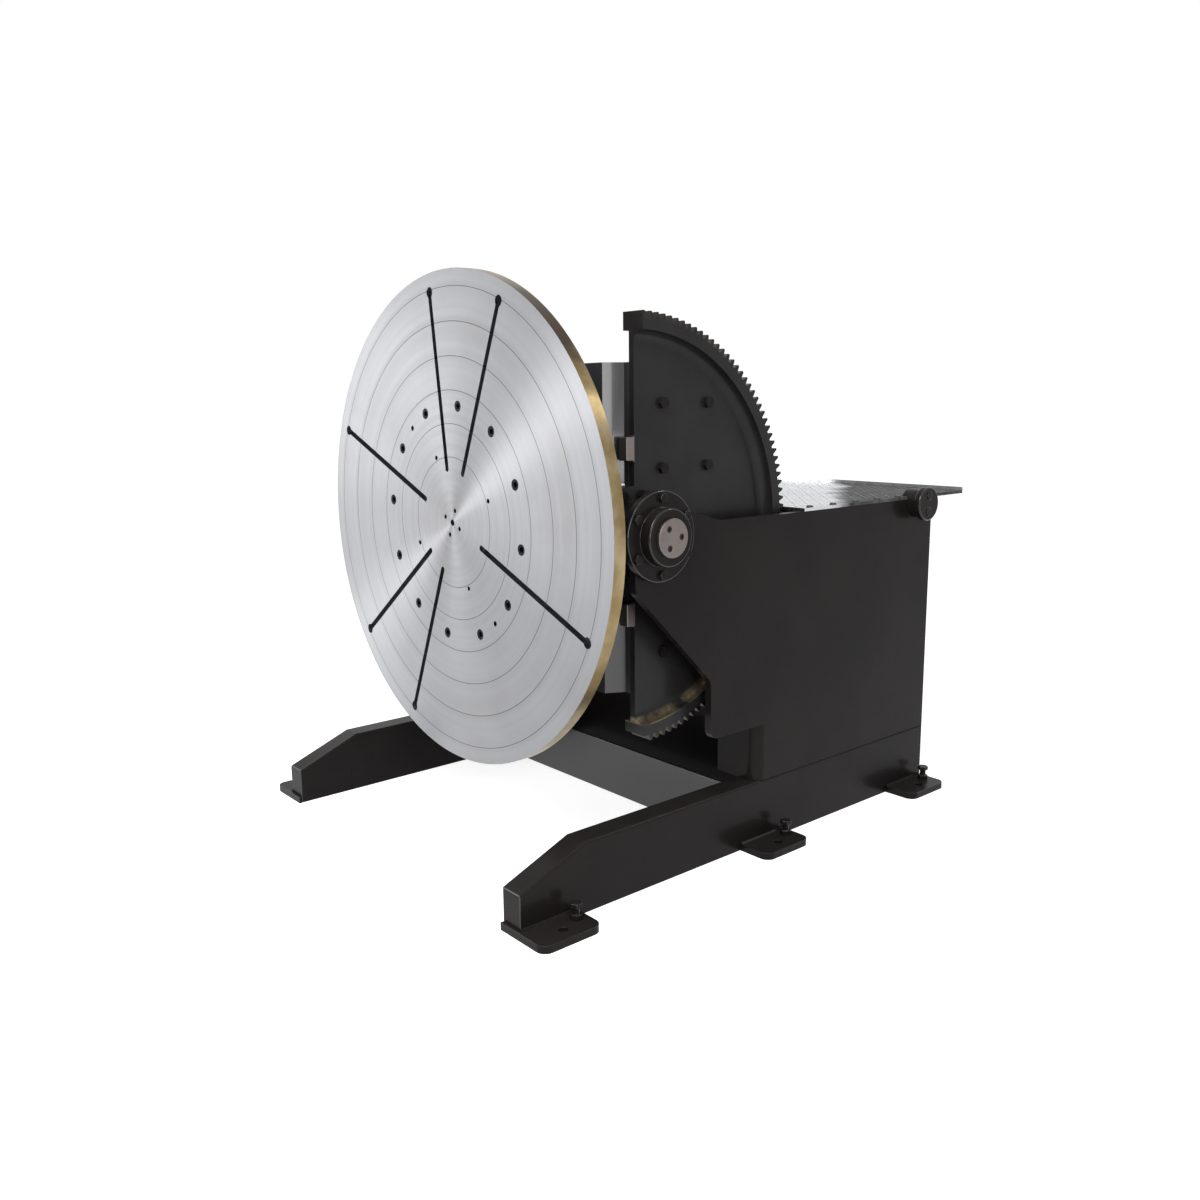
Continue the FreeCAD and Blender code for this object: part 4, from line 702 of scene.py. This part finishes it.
class Finishes:
    """Every finish of the machine, built once and found by its material slot or by its node."""

    gear_module = 0.008
    tooth_depth = 2.25 * gear_module
    rim_depth = 0.032

    def __init__(self) -> None:
        """Reads the axes from the model's own pieces and builds the materials."""
        low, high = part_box("faceplate")
        table = TurnedSteel("turned_table_steel", (low.z + high.z) / 2, low.y, (high.x - low.x) / 2)
        low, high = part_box("shaft_caps")
        axis = (0.0, (low.y + high.y) / 2, (low.z + high.z) / 2)
        root_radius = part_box("tilt_sector_left")[1].z - axis[2] - self.tooth_depth
        self.by_slot: dict[Slot, Material] = {
            Slot.FRAME: Enamel("charcoal_enamel", (0.0095, 0.0078, 0.0076), (0.0130, 0.0108, 0.0104)).build(),
            # painted light: the cradle's enamel is a lighter, bluer copy of the frame's charcoal, so that its
            # front facets read as lit
            Slot.CRADLE: Enamel("cradle_enamel_painted_light", (0.0200, 0.0205, 0.0230), (0.028, 0.0275, 0.030),
                                specular=0.35, coat=0.6, wear=0.2).build(),
            Slot.GEAR: GearCasting("gear_casting", axis, root_radius, root_radius - self.rim_depth).build(),
            Slot.PINION: BareMetal("oiled_gear_steel", (0.40, 0.38, 0.35), (0.20, 0.17, 0.13), oil=0.5).build(),
            Slot.TABLE: table.build(),
            Slot.CAP: BareMetal("machined_cap_steel", (0.185, 0.160, 0.152), (0.115, 0.100, 0.095),
                                roughness=0.42).build(),
            Slot.BRONZE: BareMetal("bearing_bronze", (0.55, 0.37, 0.16), (0.30, 0.19, 0.08)).build(),
            Slot.FASTENER: BareMetal("zinc_fasteners", (0.34, 0.34, 0.34), (0.16, 0.15, 0.14),
                                     roughness=0.35).build(),
            Slot.DECK: TreadAluminium("tread_aluminium", tread_top()).build(),
            Slot.DRIVE: Enamel("gearbox_enamel", (0.10, 0.11, 0.12), (0.13, 0.14, 0.15),
                               coat=0.3, wear=0.2).build(),
            Slot.MOTOR: Enamel("motor_enamel", (0.06, 0.10, 0.16), (0.08, 0.12, 0.18),
                               coat=0.3, wear=0.2).build(),
            Slot.GLAND: MouldedPlastic("gland_nylon").build(),
        }
        blackened = BareMetal("blackened_screws", (0.045, 0.043, 0.042), (0.02, 0.019, 0.018),
                              roughness=0.38).build()
        socket = BareMetal("socket_screws", (0.016, 0.015, 0.016), (0.010, 0.0095, 0.0095),
                           roughness=0.5).build()
        charcoal = self.by_slot[Slot.FRAME]
        # painted light: the front cross plate takes a lighter, glossier copy of the frame's charcoal enamel, so
        # that its front face reads as lit
        lit_charcoal_copy = Enamel("cross_plate_enamel_painted_light", (0.0130, 0.0115, 0.0118), (0.0170, 0.0150, 0.0155), specular=0.45,
                        coat=0.35).build()
        self.by_node: dict[str, Material] = {
            "cap_screws": blackened,
            "deck_screws": blackened,
            "sector_bolts": charcoal,
            "shaft_bolts": charcoal,
            "front_cross_plate": lit_charcoal_copy,
            "table_screws": socket,
        }

    def of(self, node: str) -> Material:
        """A node's finish: its own where it has one, and otherwise its slot's."""
        return self.by_node.get(node, self.by_slot[SLOT_OF_NODE[node]])

    def dress_nodes(self) -> None:
        """Gives every carried-over node its finish."""
        for node in SLOT_OF_NODE:
            mesh = frame["nodes"][node].data
            mesh.materials.clear()
            mesh.materials.append(self.of(node))


# ---------------------------------------------------------------- mesh work


def made_mesh(shape: bmesh.types.BMesh, name: str) -> bpy.types.Mesh:
    """Turns a bmesh into a mesh and frees it.

    Args:
        shape: the bmesh.
        name: the mesh's name.

    Returns:
        The mesh.
    """
    mesh = bpy.data.meshes.new(name)
    shape.to_mesh(mesh)
    shape.free()
    return mesh


def placed(name: str, data: bpy.types.ID) -> bpy.types.Object:
    """Puts a mesh, a lamp or a camera in the scene.

    Args:
        name: the object's name.
        data: what it shows.

    Returns:
        The new object.
    """
    item = bpy.data.objects.new(name, data)
    bpy.context.scene.collection.objects.link(item)
    return item


def publish(shape: bmesh.types.BMesh, name: str, material: Material, body: Body,
            replaces: tuple[str, ...] = ()) -> bpy.types.Object:
    """Turns a finished bmesh into a piece that rides on its body.

    Args:
        shape: the bmesh, in the model's frame; it is freed.
        name: the piece's name.
        material: its finish.
        body: the body it rides on.
        replaces: CAD nodes that it stands for.

    Returns:
        The new object.
    """
    mesh = made_mesh(shape, name)
    mesh.materials.append(material)
    if "custom_normal" in mesh.attributes:
        mesh.attributes.remove(mesh.attributes["custom_normal"])
    piece = placed(name, mesh)
    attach(piece, body.value)
    if replaces:
        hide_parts(*replaces)
    LOG.info("%s: %d faces", name, len(mesh.polygons))
    return piece


def merged_copy(node: str) -> bmesh.types.BMesh:
    """A CAD node's shape as a bmesh with joined corners and whole flat faces.

    Args:
        node: the node's name.

    Returns:
        The bmesh.
    """
    shape = bmesh.new()
    shape.from_mesh(frame["nodes"][node].data)
    bmesh.ops.remove_doubles(shape, verts=shape.verts, dist=SAME_PLACE)
    bmesh.ops.dissolve_limit(shape, angle_limit=FLAT_WITHIN, verts=shape.verts, edges=shape.edges)
    return shape


def sharper_than(shape: bmesh.types.BMesh, angle: float) -> list[bmesh.types.BMEdge]:
    """The edges where a closed shape turns by more than an angle."""
    return [edge for edge in shape.edges if edge.is_manifold and edge.calc_face_angle() > angle]


def round_edges(shape: bmesh.types.BMesh, width: float, segments: int) -> None:
    """Rounds a shape's sharp edges and marks the new strips for wear.

    Args:
        shape: the bmesh to change.
        width: how far back the rounding starts.
        segments: facets of each rounding.
    """
    mark = shape.faces.layers.float.new("edge")
    result = bmesh.ops.bevel(shape, geom=sharper_than(shape, ROUNDED_FROM), offset=width, offset_type="OFFSET",
                             segments=segments, profile=0.5, affect="EDGES", clamp_overlap=True, material=-1,
                             loop_slide=True)
    for face in result["faces"]:
        face[mark] = 1.0
    for face in shape.faces:
        face.smooth = True
    for edge in sharper_than(shape, CREASED_FROM):
        edge.smooth = False


def keep_flats_flat(piece: bpy.types.Object) -> None:
    """Weighs normals by face area, so that flat faces next to rounded edges stay flat.

    Args:
        piece: the piece to change.
    """
    modifier = piece.modifiers.new("flat_faces", "WEIGHTED_NORMAL")
    modifier.keep_sharp = True
    modifier.weight = 90


@dataclass
class SoftenedNode:
    """A CAD node shown with its edges rounded as paint, grinding or casting leaves them."""

    node: str
    width: float
    segments: int

    def build(self, finishes: Finishes) -> bpy.types.Object:
        """Makes the piece that stands for the node.

        Args:
            finishes: the machine's finishes.

        Returns:
            The piece.
        """
        shape = merged_copy(self.node)
        round_edges(shape, self.width, self.segments)
        piece = publish(shape, self.node + "_shown", finishes.of(self.node), BODY_OF_NODE[self.node],
                        (self.node,))
        keep_flats_flat(piece)
        return piece


def soften(finishes: Finishes, width: float, *nodes: str, segments: int = 2) -> None:
    """Makes the pieces that stand for several nodes, all rounded alike.

    Args:
        finishes: the machine's finishes.
        width: how far back the rounding starts.
        nodes: the nodes' names.
        segments: facets of each rounding.
    """
    for node in nodes:
        SoftenedNode(node, width, segments).build(finishes)


@dataclass
class WeldBead:
    """A fillet weld along a straight seam: a half-round bead with the ripples of its passes."""

    start: Vector
    end: Vector
    outward: Vector
    leg: float = 0.005
    ripple: float = 0.0035
    ripple_height: float = 0.10
    wander: float = 0.05
    wander_pace: float = 0.37

    def add_to(self, shape: bmesh.types.BMesh) -> None:
        """Sweeps the bead into a bmesh, ring by ring.

        Args:
            shape: the bmesh that collects the beads.
        """
        run = self.end - self.start
        steps = max(4, round(run.length / (self.ripple / 2)))
        along = run.normalized()
        side = along.cross(self.outward).normalized()
        up = self.outward.normalized()
        turned = Matrix((side, up, along)).transposed().to_4x4()
        ring = bmesh.ops.create_circle(shape, segments=7, radius=self.leg, cap_ends=False,
                                       matrix=Matrix.Translation(self.start) @ turned)["verts"]
        edges = list({edge for vert in ring for edge in vert.link_edges})
        start_loop = edges
        size = 1.0
        for step in range(steps):
            grown = bmesh.ops.extrude_edge_only(shape, edges=edges)["geom"]
            ring = [item for item in grown if isinstance(item, bmesh.types.BMVert)]
            edges = [item for item in grown if isinstance(item, bmesh.types.BMEdge)]
            bmesh.ops.translate(shape, vec=run / steps, verts=ring)
            centre = self.start + run * ((step + 1) / steps)
            swell = self._size(step) / size
            size = self._size(step)
            bmesh.ops.scale(shape, vec=(swell, swell, swell), space=Matrix.Translation(-centre), verts=ring)
        bmesh.ops.holes_fill(shape, edges=start_loop + edges, sides=0)

    def _size(self, step: int) -> float:
        """The bead's thickness against its leg: in and out by turns, with a slow wander."""
        ripple = self.ripple_height if step % 2 else -self.ripple_height
        return 1.0 + ripple + self.wander * math.sin(step * self.wander_pace)


# ---------------------------------------------------------------- sub-assemblies


@dataclass
class TurnTable:
    """The slotted round table and its screws."""

    edge_width: float = 0.0012
    screw_edge: float = 0.0008

    def build(self, finishes: Finishes) -> None:
        """Makes the table's pieces."""
        soften(finishes, self.edge_width, "faceplate")
        soften(finishes, self.screw_edge, "table_screws")


@dataclass
class TiltGears:
    """The two toothed half discs."""

    edge_width: float = 0.0010

    def build(self, finishes: Finishes) -> None:
        """Makes both gears."""
        soften(finishes, self.edge_width, "tilt_sector_left", "tilt_sector_right")


@dataclass
class Cradle:
    """The folded weldment between the gears, its keys and its welds."""

    plate_edge: float = 0.0025
    key_edge: float = 0.0015
    cap_edge: float = 0.0008
    key_height: float = 0.064
    key_weld_leg: float = 0.004
    key_weld_length: float = 0.018
    shelf_weld_length: float = 0.14
    weld_leg: float = 0.005

    def build(self, finishes: Finishes) -> None:
        """Makes the cradle's pieces.

        Args:
            finishes: the machine's finishes.
        """
        soften(finishes, self.plate_edge, "cradle_front_plate", "cradle_top_plate", "cradle_bottom_plate",
               "cradle_side_plate_left", "cradle_side_plate_right")
        soften(finishes, self.key_edge, "key_blocks")
        soften(finishes, self.cap_edge, "shaft_caps")
        self._welds(finishes)

    def _welds(self, finishes: Finishes) -> None:
        """Beads along the keys and the shelves.

        Args:
            finishes: the machine's finishes.
        """
        shape = bmesh.new()
        upward = Vector((0.0, 0.0, 1.0))
        low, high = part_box("key_blocks")
        for x in (low.x, high.x):
            out = Vector((1.0 if x > 0 else -1.0, 0.0, 0.0))
            for top in (high.z, low.z + self.key_height):
                for z in (top, top - self.key_height):
                    end = Vector((x - out.x * 0.001, high.y - 0.002, z))
                    start = end - Vector((out.x * self.key_weld_length, 0.0, 0.0))
                    WeldBead(start, end, upward, self.key_weld_leg).add_to(shape)
        low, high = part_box("cradle_top_plate")
        shelf_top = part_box("cradle_bottom_plate")[1].z
        for x in (low.x, high.x):
            inward = Vector((-1.0 if x > 0 else 1.0, 0.0, 0.0))
            for z in (low.z, shelf_top):
                start = Vector((x, high.y - self.shelf_weld_length, z))
                WeldBead(start, Vector((x, high.y - 0.004, z)), inward, self.weld_leg).add_to(shape)
        publish(shape, "cradle_welds", finishes.by_slot[Slot.CRADLE], Body.CRADLE)


@dataclass
class BaseFrame:
    """Side frames, legs, feet and walls, with their welds."""

    plate_edge: float = 0.0025
    leg_edge: float = 0.0075
    leg_facets: int = 4
    housing_edge: float = 0.0012
    foot_edge: float = 0.003
    screw_edge: float = 0.0008
    foot_half_length: float = 0.1
    middle_foot_y: float = 0.048
    seat_from_y: float = 0.052
    weld_leg: float = 0.006
    cross_weld_leg: float = 0.005

    def build(self, finishes: Finishes) -> None:
        """Makes the base's pieces.

        Args:
            finishes: the machine's finishes.
        """
        soften(finishes, self.leg_edge, "leg_left", "leg_right", segments=self.leg_facets)
        soften(finishes, self.plate_edge, "side_frame_left", "side_frame_right", "front_cross_plate",
               "bulkhead", "rear_wall", "access_cover", "deck_brackets", "lifting_bollard_left",
               "lifting_bollard_right")
        soften(finishes, self.housing_edge, "trunnion_housing_left", "trunnion_housing_right")
        soften(finishes, self.foot_edge, "foot_plates")
        soften(finishes, self.screw_edge, "housing_screws", "bollard_screws", "jack_screws")
        self._welds(finishes)

    def _welds(self, finishes: Finishes) -> None:
        """Beads along the feet, the side frames' seats on the legs and the cross plate's corners.

        Args:
            finishes: the machine's finishes.
        """
        shape = bmesh.new()
        feet_low, feet_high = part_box("foot_plates")
        leg_low, leg_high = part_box("leg_left")
        cross_low, cross_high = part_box("front_cross_plate")
        ahead = Vector((0.0, -1.0, 0.0))
        half = self.foot_half_length
        for side in (1.0, -1.0):
            out = Vector((side, 0.0, 0.0))
            wall = side * leg_high.x
            for centre in (feet_low.y + half, self.middle_foot_y, feet_high.y - half):
                start = Vector((wall, max(centre - half, leg_low.y), feet_high.z))
                end = Vector((wall, min(centre + half, leg_high.y), feet_high.z))
                WeldBead(start, end, out, self.weld_leg).add_to(shape)
            seat = Vector((side * (leg_high.x - 0.006), self.seat_from_y, leg_high.z))
            WeldBead(seat, Vector((seat.x, leg_high.y - 0.01, seat.z)), out, self.weld_leg).add_to(shape)
            corner = Vector((side * cross_high.x, cross_low.y, 0.01))
            top = Vector((corner.x, corner.y, cross_high.z - 0.005))
            WeldBead(corner, top, ahead, self.cross_weld_leg).add_to(shape)
        publish(shape, "frame_welds", finishes.by_slot[Slot.FRAME], Body.BASE)


@dataclass
class Deck:
    """The rear tread plate with its raised lozenges."""

    edge_width: float = 0.0015
    pitch: float = 0.030
    lozenge_length: float = 0.026
    lozenge_width: float = 0.0075
    lozenge_height: float = 0.0016
    lozenge_slope: float = 0.28
    margin: float = 0.03

    def build(self, finishes: Finishes) -> None:
        """Makes the plate and its pattern."""
        soften(finishes, self.edge_width, "deck_plate")
        self._pattern(finishes)

    def _pattern(self, finishes: Finishes) -> None:
        """Lozenges in two crossing directions over the whole plate.

        Args:
            finishes: the machine's finishes.
        """
        low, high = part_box("deck_plate")
        top = tread_top()
        template = self._lozenge()
        shape = bmesh.new()
        columns = int((high.x - low.x - 2 * self.margin) / self.pitch)
        rows = int((high.y - low.y - 2 * self.margin) / self.pitch)
        first_x = (low.x + high.x - columns * self.pitch) / 2
        first_y = (low.y + high.y - rows * self.pitch) / 2
        for column in range(columns + 1):
            for row in range(rows + 1):
                turn = math.radians(45.0 if (column + row) % 2 else -45.0)
                place = Matrix.Translation((first_x + column * self.pitch, first_y + row * self.pitch, top))
                before = len(shape.verts)
                shape.from_mesh(template)
                shape.verts.ensure_lookup_table()
                placement = place @ Matrix.Rotation(turn, 4, "Z")
                bmesh.ops.transform(shape, matrix=placement, verts=shape.verts[before:])
        bpy.data.meshes.remove(template)
        publish(shape, "tread_pattern", finishes.by_slot[Slot.DECK], Body.BASE)

    def _lozenge(self) -> bpy.types.Mesh:
        """One raised lozenge, standing on the origin.

        Returns:
            Its mesh.
        """
        shape = bmesh.new()
        ring = bmesh.ops.create_circle(shape, segments=8, radius=0.5, cap_ends=True)["verts"]
        bmesh.ops.scale(shape, vec=(self.lozenge_length, self.lozenge_width, 1.0), verts=ring)
        cap = shape.faces[:]
        bmesh.ops.inset_region(shape, faces=cap, thickness=self.lozenge_width * self.lozenge_slope,
                               use_even_offset=True)
        lifted = {vert for face in cap for vert in face.verts}
        bmesh.ops.translate(shape, vec=(0.0, 0.0, self.lozenge_height), verts=list(lifted))
        for face in shape.faces:
            face.smooth = True
        return made_mesh(shape, "lozenge")


@dataclass
class Drives:
    """Gearboxes, pinions and their bearings."""

    pinion_edge: float = 0.001
    bearing_edge: float = 0.002
    gearbox_edge: float = 0.003

    def build(self, finishes: Finishes) -> None:
        """Makes the drive pieces.

        Args:
            finishes: the machine's finishes.
        """
        soften(finishes, self.pinion_edge, "tilt_pinion_left", "tilt_pinion_right", "tilt_pinion_shaft",
               "rotation_pinion")
        soften(finishes, self.bearing_edge, "pinion_bearings")
        soften(finishes, self.gearbox_edge, "tilt_gearbox", "rotation_gearbox")


# ---------------------------------------------------------------- studio


@dataclass(frozen=True)
class Softbox:
    """A rectangular lamp: its place, the point it faces, its width and height, and its power in watts."""

    name: str
    place: Place
    target: Place
    size: tuple[float, float]
    power: float

    def build(self) -> None:
        """Makes the lamp and aims it."""
        data = bpy.data.lights.new(self.name, "AREA")
        data.shape = "RECTANGLE"
        data.size, data.size_y = self.size
        data.energy = self.power
        lamp = placed(self.name, data)
        lamp.location = self.place
        lamp.rotation_mode = "QUATERNION"
        lamp.rotation_quaternion = (Vector(self.target) - Vector(self.place)).to_track_quat("-Z", "Y")


@dataclass
class Studio:
    """Floor, surround, lamps and camera."""

    camera_place: Place = (2.783, -2.409, 1.377)
    heading: float = 50.2
    pitch: float = -10.34
    roll: float = -0.68
    lens: float = 32.24
    shift: tuple[float, float] = (0.01075, -0.00374)
    floor_half_width: float = 60.0
    floor_tone: float = 0.80
    floor_glow: float = 0.80
    seen_world: float = 1.0
    lighting_world: float = 0.3
    lamps: tuple[Softbox, ...] = (
        Softbox("front_softbox", (1.1, -4.6, 4.3), (0.0, -0.3, 0.95), (2.0, 2.7), 85.0),
        Softbox("top_softbox", (2.2, -2.9, 4.5), (0.0, -0.3, 0.9), (2.0, 2.0), 110.0),
        Softbox("low_softbox", (-2.8, -4.9, 1.0), (0.0, -0.3, 0.95), (1.6, 2.1), 60.0),
        Softbox("near_softbox", (-2.05, -1.6, 1.45), (0.0, -0.3, 0.95), (0.7, 0.95), 9.0),
        Softbox("side_softbox", (5.6, -2.0, 2.0), (0.5, -0.4, 1.0), (1.8, 2.6), 90.0),
        Softbox("rear_softbox", (2.41, 2.74, 4.16), (0.3, 0.0, 1.0), (0.8, 0.8), 22.0),
    )

    def build(self) -> None:
        """Makes the surroundings."""
        self._camera()
        self._floor()
        self._world()
        for lamp in self.lamps:
            lamp.build()

    def _camera(self) -> None:
        """Places the camera, turned by its heading, pitch and roll."""
        data = bpy.data.cameras.new("camera")
        data.lens = self.lens
        data.sensor_width = 36.0
        data.shift_x, data.shift_y = self.shift
        data.clip_end = 200.0
        camera = placed("camera", data)
        heading, pitch, roll = (math.radians(angle) for angle in (self.heading, self.pitch, self.roll))
        level = math.cos(pitch)
        ahead = Vector((-math.sin(heading) * level, math.cos(heading) * level, math.sin(pitch)))
        right = Vector((math.cos(heading), math.sin(heading), 0.0))
        up = right.cross(ahead)
        rolled_right = right * math.cos(roll) + up * math.sin(roll)
        rolled_up = up * math.cos(roll) - right * math.sin(roll)
        turn = Matrix((rolled_right, rolled_up, -ahead)).transposed().to_4x4()
        camera.matrix_world = Matrix.Translation(self.camera_place) @ turn
        bpy.context.scene.camera = camera

    @staticmethod
    def _seen(graph: Graph) -> Socket:
        """Mask of the rays that show the background: from the camera, through glass and from gloss.

        Args:
            graph: the graph of the floor's material or of the world.

        Returns:
            The mask, 1 on such a ray.
        """
        paths = graph.add("LightPath").outputs
        direct = graph.math("MAXIMUM", paths["Is Camera Ray"], paths["Is Transmission Ray"])
        return graph.math("MAXIMUM", direct, paths["Is Glossy Ray"])

    def _floor(self) -> None:
        """A wide pale floor that keeps the object's soft shadow and is white elsewhere."""
        shape = bmesh.new()
        bmesh.ops.create_grid(shape, x_segments=1, y_segments=1, size=self.floor_half_width)
        floor = placed("floor", made_mesh(shape, "floor"))
        material, graph, shader = new_material("pale_floor")
        graph.feed(shader.inputs["Base Color"], (self.floor_tone,) * 3)
        shader.inputs["Roughness"].default_value = 0.9
        glow = graph.add("Emission", {"Color": (1.0, 1.0, 1.0), "Strength": self.floor_glow})
        nothing = graph.add("Emission", {"Strength": 0.0})
        chosen = graph.add("MixShader", {0: self._seen(graph), 1: nothing.outputs[0], 2: glow.outputs[0]})
        total = graph.add("AddShader", {0: shader.outputs[0], 1: chosen.outputs[0]})
        output = material.node_tree.nodes["Material Output"]
        graph.feed(output.inputs["Surface"], total.outputs[0])
        floor.data.materials.append(material)

    def _world(self) -> None:
        """A white surround for the camera and for reflections, and a dimmer one for light."""
        world = bpy.data.worlds.new("studio")
        bpy.context.scene.world = world
        world.use_nodes = True
        graph = Graph(world.node_tree)
        bright = graph.mixed(self._seen(graph), self.lighting_world, self.seen_world)
        background = world.node_tree.nodes["Background"]
        graph.feed(background.inputs["Color"], (1.0, 1.0, 1.0))
        graph.feed(background.inputs["Strength"], bright)


def main() -> None:
    """Builds the whole scene in order."""
    logging.basicConfig(level=logging.INFO, format="%(name)s %(message)s")
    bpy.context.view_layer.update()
    bpy.context.scene.view_settings.view_transform = "Standard"
    Studio().build()
    finishes = Finishes()
    finishes.dress_nodes()
    for assembly in (TurnTable(), TiltGears(), Cradle(), BaseFrame(), Deck(), Drives()):
        LOG.info("building %s", type(assembly).__name__)
        assembly.build(finishes)


if __name__ == "__main__":
    main()
